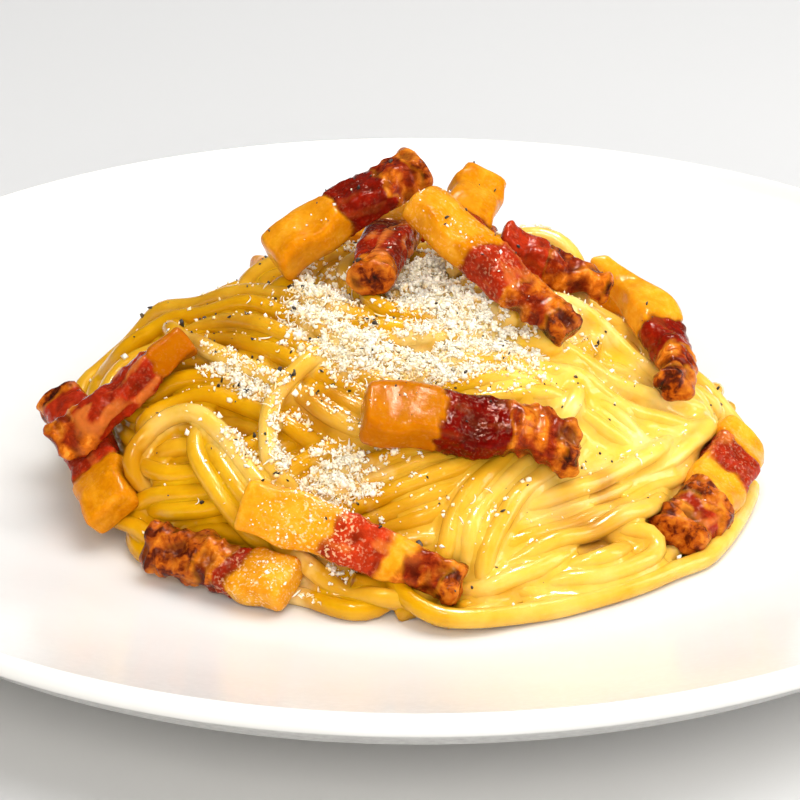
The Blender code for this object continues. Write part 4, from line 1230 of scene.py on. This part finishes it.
# ------------------------------------------------------------------ materials
class Nodes:
    def __init__(self, name):
        self.mat = bpy.data.materials.new(name)
        self.mat.use_nodes = True
        self.t = self.mat.node_tree
        self.b = self.t.nodes["Principled BSDF"]

    def new(self, kind, **kw):
        n = self.t.nodes.new(kind)
        for k, v in kw.items():
            if isinstance(k, str) and hasattr(n, k) and k not in n.inputs:
                setattr(n, k, v)
        return n

    def link(self, a, b):
        self.t.links.new(a, b)

    def noise(self, vec, scale, detail=3, rough=0.55, dist=0.0):
        n = self.new("ShaderNodeTexNoise")
        n.inputs["Scale"].default_value = scale
        n.inputs["Detail"].default_value = detail
        n.inputs["Roughness"].default_value = rough
        n.inputs["Distortion"].default_value = dist
        self.link(vec, n.inputs["Vector"])
        return n.outputs["Fac"]

    def voronoi(self, vec, scale, feature="F1"):
        n = self.new("ShaderNodeTexVoronoi")
        n.feature = feature
        n.inputs["Scale"].default_value = scale
        self.link(vec, n.inputs["Vector"])
        return n.outputs["Distance"]

    def coords(self, scale=1000.0):
        """Object coordinates in mm."""
        c = self.new("ShaderNodeTexCoord")
        m = self.new("ShaderNodeVectorMath")
        m.operation = "SCALE"
        m.inputs["Scale"].default_value = scale
        self.link(c.outputs["Object"], m.inputs[0])
        return m.outputs[0]

    def attribute(self, name, vec=False):
        a = self.new("ShaderNodeAttribute")
        a.attribute_name = name
        return a.outputs["Vector" if vec else "Fac"]

    def ramp(self, fac, stops):
        r = self.new("ShaderNodeValToRGB")
        el = r.color_ramp.elements
        while len(el) > 1:
            el.remove(el[-1])
        el[0].position, el[0].color = stops[0][0], (*stops[0][1], 1)
        for p, c in stops[1:]:
            e = el.new(p)
            e.color = (*c, 1)
        self.link(fac, r.inputs["Fac"])
        return r.outputs["Color"]

    def mix(self, fac, a, b, mode="MIX"):
        m = self.new("ShaderNodeMix")
        m.data_type = "RGBA"
        m.blend_type = mode
        for s, v in ((m.inputs[0], fac), (m.inputs[6], a), (m.inputs[7], b)):
            if isinstance(v, (int, float)):
                s.default_value = v
            elif isinstance(v, tuple):
                s.default_value = (*v, 1)
            else:
                self.link(v, s)
        return m.outputs[2]

    def math(self, op, a, b=0.0, c=0.0, clamp=False):
        m = self.new("ShaderNodeMath")
        m.operation = op
        m.use_clamp = clamp
        for s, v in zip(m.inputs, (a, b, c)):
            if isinstance(v, (int, float)):
                s.default_value = v
            else:
                self.link(v, s)
        return m.outputs[0]

    def range(self, v, a, b, c=0.0, d=1.0):
        m = self.new("ShaderNodeMapRange")
        self.link(v, m.inputs["Value"])
        for k, x in (("From Min", a), ("From Max", b), ("To Min", c), ("To Max", d)):
            m.inputs[k].default_value = x
        return m.outputs[0]

    def bump(self, h, strength, dist=0.0002, normal=None):
        n = self.new("ShaderNodeBump")
        n.inputs["Strength"].default_value = strength
        n.inputs["Distance"].default_value = dist
        self.link(h, n.inputs["Height"])
        if normal is not None:
            self.link(normal, n.inputs["Normal"])
        return n.outputs["Normal"]

    def set(self, **kw):
        for k, v in kw.items():
            s = self.b.inputs[k.replace("_", " ")]
            if isinstance(v, (int, float)):
                s.default_value = v
            elif isinstance(v, tuple):
                s.default_value = v if len(v) == 3 and s.type == "VECTOR" else (*v, 1) if len(v) == 3 else v
            else:
                self.link(v, s)


def pasta_material(name, sauce=False):
    m = Nodes(name)
    co = m.coords()
    big = m.noise(co, 0.045, 2)
    mid = m.noise(co, 0.22, 3)
    fine = m.noise(co, 1.6, 4, 0.6)
    cream_and_shade = m.attribute("cream_and_shade")
    deep = m.ramp(m.math("ADD", m.math("MULTIPLY", big, 0.5), m.math("MULTIPLY", mid, 0.5)),
                  [(0.30, (0.52, 0.225, 0.0008)), (0.52, (0.64, 0.315, 0.0015)), (0.70, (0.75, 0.405, 0.006))])
    pale = m.ramp(m.math("ADD", m.math("MULTIPLY", big, 0.4), m.math("MULTIPLY", mid, 0.6)),
                  [(0.32, (0.83, 0.48, 0.028)), (0.52, (0.87, 0.585, 0.110)), (0.70, (0.90, 0.67, 0.24))])
    # deep gold where the sauce is thin, which on the heap's left and in the dip is also painted shade; pale where the
    # cream lies thick
    col = m.mix(cream_and_shade, deep, pale)
    # fat of the pan in tiny amber dots, and flecks of unmelted cheese
    spots = m.range(m.voronoi(co, 0.42), 0.0, 0.16, 1.0, 0.0)
    keep = m.range(m.noise(co, 0.30, 2), 0.55, 0.68)
    col = m.mix(m.math("MULTIPLY", m.math("MULTIPLY", spots, keep), 0.35, clamp=True), col, (0.98, 0.84, 0.42))
    snow = m.range(m.math("ADD", m.attribute("snow"), m.range(mid, 0.3, 0.7, -0.30, 0.30)), 0.45, 1.0)
    col = m.mix(m.math("MULTIPLY", snow, 0.50), col, (0.97, 0.82, 0.42))
    # painted shade: brown-orange darkening in the hollows, dips and gaps between the strands
    col = m.mix(m.math("MULTIPLY", m.attribute("painted_shade"), m.range(mid, 0.3, 0.7, 0.55, 0.95), clamp=True), col, (0.40, 0.135, 0.0015))
    m.set(Base_Color=col)
    m.set(Roughness=m.range(fine, 0.3, 0.75, 0.08, 0.19) if sauce else m.range(fine, 0.3, 0.75, 0.13, 0.26))
    m.set(Subsurface_Weight=0.34, Subsurface_Scale=0.0012, Coat_Weight=0.36, Coat_Roughness=0.05, IOR=1.34)
    m.b.inputs["Subsurface Radius"].default_value = (1.0, 0.55, 0.12)
    m.b.inputs["Specular Tint"].default_value = (1.0, 0.86, 0.50, 1)
    h = m.math("ADD", m.math("MULTIPLY", fine, 0.5), m.noise(co, 5.0, 2))
    m.set(Normal=m.bump(h, 0.16 if sauce else 0.22, 0.00022))
    return m.mat


def guanciale_material():
    m = Nodes("fried_guanciale")
    co = m.attribute("local", True)
    big = m.noise(co, 0.22, 3, 0.5, 0.4)
    mid = m.noise(co, 0.75, 3, 0.6, 0.5)
    fine = m.noise(co, 2.6, 4, 0.65)
    peb = m.voronoi(co, 1.05)
    tone = m.attribute("tone")
    fib = m.new("ShaderNodeVectorMath")
    fib.operation = "MULTIPLY"
    fib.inputs[1].default_value = (0.22, 1.0, 1.0)
    m.link(co, fib.inputs[0])
    grain = m.noise(fib.outputs[0], 1.5, 3, 0.6)
    ff = m.math("ADD", m.math("MULTIPLY", mid, 0.62), m.math("MULTIPLY", big, 0.38))
    ff = m.math("ADD", m.math("MULTIPLY", ff, 0.84), m.math("MULTIPLY", grain, 0.16))
    fat_a = m.ramp(ff, [(0.30, (0.46, 0.130, 0.0006)), (0.50, (0.58, 0.200, 0.0010)), (0.72, (0.72, 0.285, 0.003))])
    fat_b = m.ramp(ff, [(0.30, (0.70, 0.250, 0.004)), (0.50, (0.79, 0.345, 0.012)), (0.72, (0.86, 0.48, 0.060))])
    fat = m.mix(tone, fat_a, fat_b)
    fat = m.mix(m.math("MULTIPLY", tone, -1.0, clamp=True), fat, (0.40, 0.105, 0.0003))
    dots = m.range(m.noise(co, 2.1, 2, 0.4), 0.54, 0.66)
    frost = m.math("MULTIPLY", dots, m.range(m.noise(co, 0.35, 2), 0.34, 0.62), clamp=True)
    frost = m.math("MULTIPLY", frost, m.attribute("frost"), clamp=True)
    meat = m.ramp(m.math("ADD", m.math("MULTIPLY", big, 0.5), m.math("MULTIPLY", mid, 0.5)),
                  [(0.34, (0.050, 0.0006, 0.0002)), (0.48, (0.115, 0.0010, 0.0003)), (0.60, (0.19, 0.0025, 0.0006)),
                   (0.74, (0.30, 0.018, 0.002))])
    brown_o = m.ramp(mid, [(0.30, (0.28, 0.040, 0.002)), (0.50, (0.56, 0.130, 0.005)), (0.70, (0.76, 0.27, 0.025))])
    brown_d = m.ramp(mid, [(0.34, (0.10, 0.006, 0.0015)), (0.56, (0.27, 0.022, 0.003)), (0.74, (0.46, 0.09, 0.008))])
    brown = m.mix(m.attribute("streak"), brown_d, brown_o)
    char = m.ramp(m.math("ADD", m.math("MULTIPLY", mid, 0.4), m.math("MULTIPLY", big, 0.6)),
                  [(0.36, (0.016, 0.004, 0.002)), (0.44, (0.12, 0.014, 0.002)), (0.50, (0.38, 0.07, 0.004)),
                   (0.64, (0.66, 0.21, 0.014))])
    wf, wm, wb, wc = (m.attribute(k) for k in ("fat", "meat", "brown", "char"))
    meat = m.mix(m.math("MULTIPLY", m.attribute("bright"), m.range(mid, 0.3, 0.7, 0.45, 0.95), clamp=True), meat, (0.56, 0.040, 0.008))
    col = m.mix(wm, fat, meat)
    col = m.mix(wb, col, brown)
    col = m.mix(m.math("MULTIPLY", m.attribute("vein"), 0.80, clamp=True), col, (0.66, 0.19, 0.030))
    col = m.mix(wc, col, char)
    # painted shade: the folds and hollows of the lean and browned parts darkened to near black
    low = m.range(m.attribute("relief"), -0.60, -0.05, 1.0, 0.0)
    col = m.mix(m.math("MULTIPLY", m.math("MULTIPLY", low, m.math("SUBTRACT", 1.0, wf)), 0.70, clamp=True),
                col, (0.040, 0.005, 0.002))
    col = m.mix(m.math("MULTIPLY", frost, 0.62, clamp=True), col, (0.97, 0.66, 0.36))
    m.set(Base_Color=col)
    m.set(Roughness=m.math("ADD", m.range(fine, 0.3, 0.75, 0.08, 0.17), m.math("MULTIPLY", wf, 0.02)))
    m.set(Subsurface_Weight=m.math("MULTIPLY", wf, 0.60), Subsurface_Scale=0.0020)
    m.b.inputs["Subsurface Radius"].default_value = (1.0, 0.45, 0.10)
    m.set(IOR=1.25, Coat_Weight=0.05, Coat_Roughness=0.04)
    m.b.inputs["Specular Tint"].default_value = (1.0, 0.44, 0.25, 1)
    dome = m.math("SUBTRACT", 1.0, m.math("MULTIPLY", peb, peb))
    h = m.math("MULTIPLY", dome, m.math("ADD", 0.10, m.math("MULTIPLY", wm, 0.34)))
    h = m.math("ADD", h, m.math("MULTIPLY", fine, m.math("ADD", 0.14, m.math("MULTIPLY", wc, 0.25))))
    h = m.math("ADD", h, m.math("MULTIPLY", m.math("MULTIPLY", frost, wf), 0.22))
    m.set(Normal=m.bump(h, 0.70, 0.00045))
    return m.mat


def plate_material():
    m = Nodes("white_glaze")
    co = m.coords()
    n = m.noise(co, 0.03, 3)
    f = m.noise(co, 0.9, 4, 0.6)
    m.set(Base_Color=m.ramp(n, [(0.3, (0.76, 0.75, 0.73)), (0.7, (0.81, 0.805, 0.79))]))
    m.set(Roughness=m.range(f, 0.3, 0.7, 0.16, 0.24))
    m.set(Coat_Weight=0.2, Coat_Roughness=0.09, IOR=1.45)
    m.set(Normal=m.bump(m.math("ADD", m.math("MULTIPLY", n, 2.0), m.math("MULTIPLY", f, 0.06)), 0.10, 0.0006))
    return m.mat


def cheese_material():
    m = Nodes("grated_pecorino")
    co = m.coords()
    a, b = m.noise(co, 0.35, 3), m.noise(co, 2.4, 3)
    col = m.ramp(m.math("ADD", m.math("MULTIPLY", a, 0.4), m.math("MULTIPLY", b, 0.6)),
                            [(0.30, (0.99, 0.88, 0.60)), (0.48, (1.0, 0.94, 0.78)), (0.66, (1.0, 0.98, 0.90))])
    # yellowed where sauce soaked in, and painted warm shade low in the clumps
    m.set(Base_Color=m.mix(m.math("MULTIPLY", m.attribute("soak_and_shade"), 0.9, clamp=True), col, (0.94, 0.58, 0.08)))
    m.set(Roughness=m.range(b, 0.3, 0.7, 0.42, 0.6))
    m.set(Subsurface_Weight=0.12, Subsurface_Scale=0.0003, IOR=1.40)
    m.b.inputs["Subsurface Radius"].default_value = (1.0, 0.85, 0.6)
    m.set(Normal=m.bump(m.noise(co, 7.0, 2), 0.4, 0.00015))
    return m.mat


def pepper_material():
    m = Nodes("cracked_pepper")
    co = m.coords()
    a, b = m.noise(co, 1.3, 3), m.noise(co, 6.0, 3)
    m.set(Base_Color=m.ramp(a, [(0.34, (0.012, 0.009, 0.007)), (0.56, (0.030, 0.020, 0.013)), (0.72, (0.16, 0.10, 0.045))]))
    m.set(Roughness=m.range(b, 0.3, 0.7, 0.4, 0.65))
    m.set(Normal=m.bump(b, 0.6, 0.00015))
    return m.mat


# ------------------------------------------------------------------ build
front = front_strands()
nest = nest_strands()
strands = front + nest + fill_strands(front + nest)
lines = settle(strands)
print("settled", round(time.time() - T0, 1), "length m", sum(np.linalg.norm(np.diff(l, axis=0), axis=1).sum() for l in lines) / 1000)
V, F, AL, RN = tubes(lines, [STRAND_R] * len(lines))
print("tris", len(F), round(time.time() - T0, 1))
spaghetti = add_mesh("strands", V, F, pasta_material("spaghetti"))
# each strand a little lighter or darker than the next, and two on top quite pale
top_lines = np.vstack([l for l, s in zip(lines, strands) if s.get("name") in ("B1", "B2", "C1")])


def painted_shade_at(p):
    """Where painted shade darkens the strands in hollows, dips and gaps: x, y, half sizes, how much."""
    v = np.zeros(len(p))
    for cx, cy, a, b, k in ((-13, -33, 7.5, 4.0, 0.75), (-33, -13, 5.0, 3.5, 0.8), (9, -3, 5.0, 4.5, 0.8), (-43.5, -31, 4.5, 3.5, 0.9),
                            (-6, -48.5, 4.5, 2.5, 0.6), (25.4, -44.0, 5.6, 3.4, 1.0), (28.4, -37.2, 3.4, 2.2, 1.0), (-14.0, -32.4, 6.0, 3.6, 1.0), (-42, -20, 5.0, 4.0, 0.5), (-2, 4, 7.0, 6.0, 0.5),
                            (-30, -48, 6.0, 4.0, 0.4), (38, -6, 4.0, 6.0, 0.35), (22, 3, 6.0, 3.0, 0.4)):
        v = np.maximum(v, k * np.exp(-((p[:, 0] - cx) / a) ** 2 - ((p[:, 1] - cy) / b) ** 2))
    return v


def pale_at(p):
    """Where melted cheese whitens the sauce."""
    spot = 0.75 * np.exp(-((p[:, 0] - 28) / 9) ** 2 - ((p[:, 1] + 3) / 8) ** 2)
    return np.maximum(snow_at(p[:, 0], p[:, 1]), spot)


def paleness(p):
    near = np.full(len(p), 9.0)
    box = (p[:, 0] > -42) & (p[:, 0] < -8) & (p[:, 1] < -10) & (p[:, 1] > -62)
    q = p[box]
    d = np.full(len(q), 9.0)
    for k in range(0, len(q), 4000):
        d[k:k + 4000] = np.sqrt(((q[k:k + 4000, None] - top_lines[None]) ** 2).sum(-1)).min(1)
    near[box] = d
    return 0.64 * (1 - smooth01(1.7, 2.5, near))


def cream_and_shade_at(p, own=0.0):
    """Cream on the strands; its lack on the left of the heap is partly painted shade, and the dip left of the middle
    strip is painted shade. Less cream low in front on the right.
    """
    # painted shade: the colour deepens in the dip left of the middle strip
    painted_shade_dip = np.exp(-((p[:, 0] + 13.6) / 6.0) ** 2 - ((p[:, 1] + 32.4) / 3.8) ** 2)
    low = smooth01(-37, -49, p[:, 1]) * smooth01(6, 18, p[:, 0])
    return np.clip(np.maximum(creamy(p, False) + 0.18 * own, paleness(p)), 0, 1) * (1 - 0.9 * painted_shade_dip) * (1 - 0.42 * low)


own = 2 * RN - 1
attr(spaghetti, "cream_and_shade", cream_and_shade_at(V, own))
attr(spaghetti, "snow", pale_at(V))
attr(spaghetti, "painted_shade", painted_shade_at(V))
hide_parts("spaghetti")
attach(spaghetti, "root")

p, t, q = sauce_mesh(V, F)
p, q, t = keep_outer(p, q, t)
p, T = open_bottom(p, q)
T = T.astype(np.int32)
print("sauce", len(T), round(time.time() - T0, 1))
sauce = add_mesh("sauce", p, T, pasta_material("egg_sauce", True))
attr(sauce, "cream_and_shade", cream_and_shade_at(p.astype(float)))
attr(sauce, "snow", pale_at(p.astype(float)))
attr(sauce, "painted_shade", painted_shade_at(p.astype(float)))
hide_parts("spaghetti")
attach(sauce, "root")

gmat = guanciale_material()
GV, GF = [], []
for n in range(1, 16):
    g = strip_piece(n)
    GF.append(g["T"] + sum(len(v) for v in GV))
    GV.append(g["V"])
    o = add_mesh("fried_strip_%02d" % n, g["V"], g["T"].astype(np.int32), gmat)
    for k in ("fat", "meat", "brown", "char", "streak", "relief", "tone", "vein", "frost", "bright", "local"):
        attr(o, k, g[k])
    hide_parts("guanciale_%02d" % n)
    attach(o, "root")
print("strips", round(time.time() - T0, 1))

heap_v, heap_f = np.vstack([V, p]), np.vstack([F, T + len(V)])
trees = [BVHTree.FromPolygons(heap_v.tolist(), heap_f.tolist()),
         BVHTree.FromPolygons(np.vstack(GV).tolist(), np.vstack(GF).tolist())]
print("trees", round(time.time() - T0, 1))
cv, cf, soak_and_shade, CLUMP_V, CLUMP_F = make_cheese(trees)
cheese = add_mesh("grated_cheese", cv, cf.astype(np.int32), cheese_material())
attr(cheese, "soak_and_shade", soak_and_shade)
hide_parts("spaghetti")
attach(cheese, "root")
fv, ff, soak_and_shade = make_cheese_dust(trees, cv[:CLUMP_V], cf[:CLUMP_F])
fine_cheese = add_mesh("fine_cheese", fv, ff.astype(np.int32), cheese.data.materials[0])
attr(fine_cheese, "soak_and_shade", soak_and_shade)
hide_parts("spaghetti")
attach(fine_cheese, "root")
pv, pf = make_pepper(trees + [BVHTree.FromPolygons(cv.tolist(), cf.tolist())])
pepper = add_mesh("black_pepper", pv, pf.astype(np.int32), pepper_material(), smooth=False)
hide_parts("spaghetti")
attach(pepper, "root")
print("crumbs", round(time.time() - T0, 1))

# the plate, turned finely round the same half section as the part
SECTION = [(0.0, 5.0), (3.0, 5.0), (9.0, 5.0), (18.0, 5.0), (30.0, 5.0), (44.0, 5.0), (56.0, 5.0), (63.0, 5.0)]
SECTION += [(r, plate_z(r) + 1.67 * smooth01(105.4, 108.4, r)) for r in np.append(np.linspace(66, 105, 26), (105.8, 106.5, 107.1, 107.6, 108.0))]
SECTION += [(108.3 + 1.7 * math.cos(a), 18.3 + 1.7 * math.sin(a)) for a in np.radians(np.linspace(88, -62, 12))]
SECTION += [(104 - 37 * k, plate_z(104 - 37 * k) - 3.8 * (1 + 0.06 * k)) for k in np.linspace(0, 1, 20)]
SECTION += [(65.6, 0.90), (64.4, 0.76), (63.6, 0.48), (63.1, 0.13), (62.5, 0.0), (58.6, 0.0), (58.0, 0.10), (57.6, 0.40),
            (57.3, 0.85), (56.8, 1.12), (56.0, 1.2), (50.0, 1.2), (36.0, 1.2), (20.0, 1.2), (8.0, 1.2), (0.0, 1.2)]
SECTION = np.array(SECTION)
TURNS = 192
mid = SECTION[1:-1]
a = np.arange(TURNS) * 2 * math.pi / TURNS
ring = np.stack([mid[:, None, 0] * np.cos(a), mid[:, None, 0] * np.sin(a), mid[:, None, 1] + 0 * a], -1).reshape(-1, 3)
n = len(mid)
PV = np.vstack([ring, [[0, 0, SECTION[0, 1]], [0, 0, SECTION[-1, 1]]]])
i, j = np.meshgrid(np.arange(n - 1), np.arange(TURNS), indexing="ij")
i, j = i.ravel(), j.ravel()
jn = (j + 1) % TURNS
b0, b1, b2, b3 = i * TURNS + j, i * TURNS + jn, (i + 1) * TURNS + jn, (i + 1) * TURNS + j
j = np.arange(TURNS)
jn = (j + 1) % TURNS
last = (n - 1) * TURNS
PF = np.vstack([np.stack([b0, b2, b1], -1), np.stack([b0, b3, b2], -1),
                np.stack([0 * j + n * TURNS, j, jn], -1), np.stack([0 * j + n * TURNS + 1, last + jn, last + j], -1)])
plate = add_mesh("porcelain", PV, PF.astype(np.int32), plate_material())
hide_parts("plate")
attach(plate, "root")
# ------------------------------------------------------------------ floor, light, camera
scene = bpy.context.scene
fl = add_mesh("floor", [(-3000, -3000, -0.4), (3000, -3000, -0.4), (3000, 3000, -0.4), (-3000, 3000, -0.4)],
              np.array([[0, 1, 2, 3]], np.int32), smooth=False)
mf = bpy.data.materials.new("floor")
mf.use_nodes = True
mf.node_tree.nodes["Principled BSDF"].inputs["Base Color"].default_value = (0.60, 0.60, 0.60, 1)
mf.node_tree.nodes["Principled BSDF"].inputs["Roughness"].default_value = 0.9
fl.data.materials.append(mf)


def area_light(name, pos, target, size, power, color=(1, 1, 1), gloss=True, soft=True):
    d = bpy.data.lights.new(name, "AREA")
    d.shape = "RECTANGLE"
    d.size, d.size_y = size
    d.energy = power
    d.color = color
    o = bpy.data.objects.new(name, d)
    o.location = Vector(pos) * MM
    o.rotation_euler = (Vector(target) - Vector(pos)).to_track_quat("-Z", "Y").to_euler()
    o.visible_glossy = gloss
    o.visible_diffuse = soft
    scene.collection.objects.link(o)
    return o


area_light("key", (190, -60, 640), (0, 0, 20), (0.58, 0.52), 3.6, gloss=False)
area_light("window", (70, 190, 620), (0, 0, 20), (0.15, 0.15), 5.2, soft=False)
area_light("glint", (-110, -260, 700), (0, 0, 20), (0.12, 0.12), 1.8, soft=False)
area_light("side", (640, -40, 300), (0, 0, 20), (0.20, 0.55), 2.2)
area_light("ambient", (60, -200, 1200), (0, 0, 0), (1.8, 1.8), 4.7, gloss=False)
area_light("back", (40, 880, 430), (0, 0, 15), (0.9, 0.7), 4.2, gloss=False)
area_light("front", (-60, -880, 470), (0, 0, 15), (0.9, 0.7), 9.6, (1.0, 0.965, 0.90), gloss=False)
w = bpy.data.worlds.new("studio")
w.use_nodes = True
w.node_tree.nodes["Background"].inputs["Color"].default_value = (1, 0.98, 0.94, 1)
w.node_tree.nodes["Background"].inputs["Strength"].default_value = 0.09
scene.world = w

cd = bpy.data.cameras.new("camera")
cd.lens = 132.515
cd.sensor_width = 36.0
cd.clip_start, cd.clip_end = 0.01, 10
cam = bpy.data.objects.new("camera", cd)
cam.location = Vector((-2.7, -435.03, 216.86)) * MM
cam.rotation_euler = (Vector((-2.7, 0, 14.0)) * MM - cam.location).to_track_quat("-Z", "Y").to_euler()
scene.collection.objects.link(cam)
scene.camera = cam
scene.view_settings.view_transform = "Standard"
scene.view_settings.look = "None"

bpy.context.view_layer.update()
print("time", round(time.time() - T0, 1))
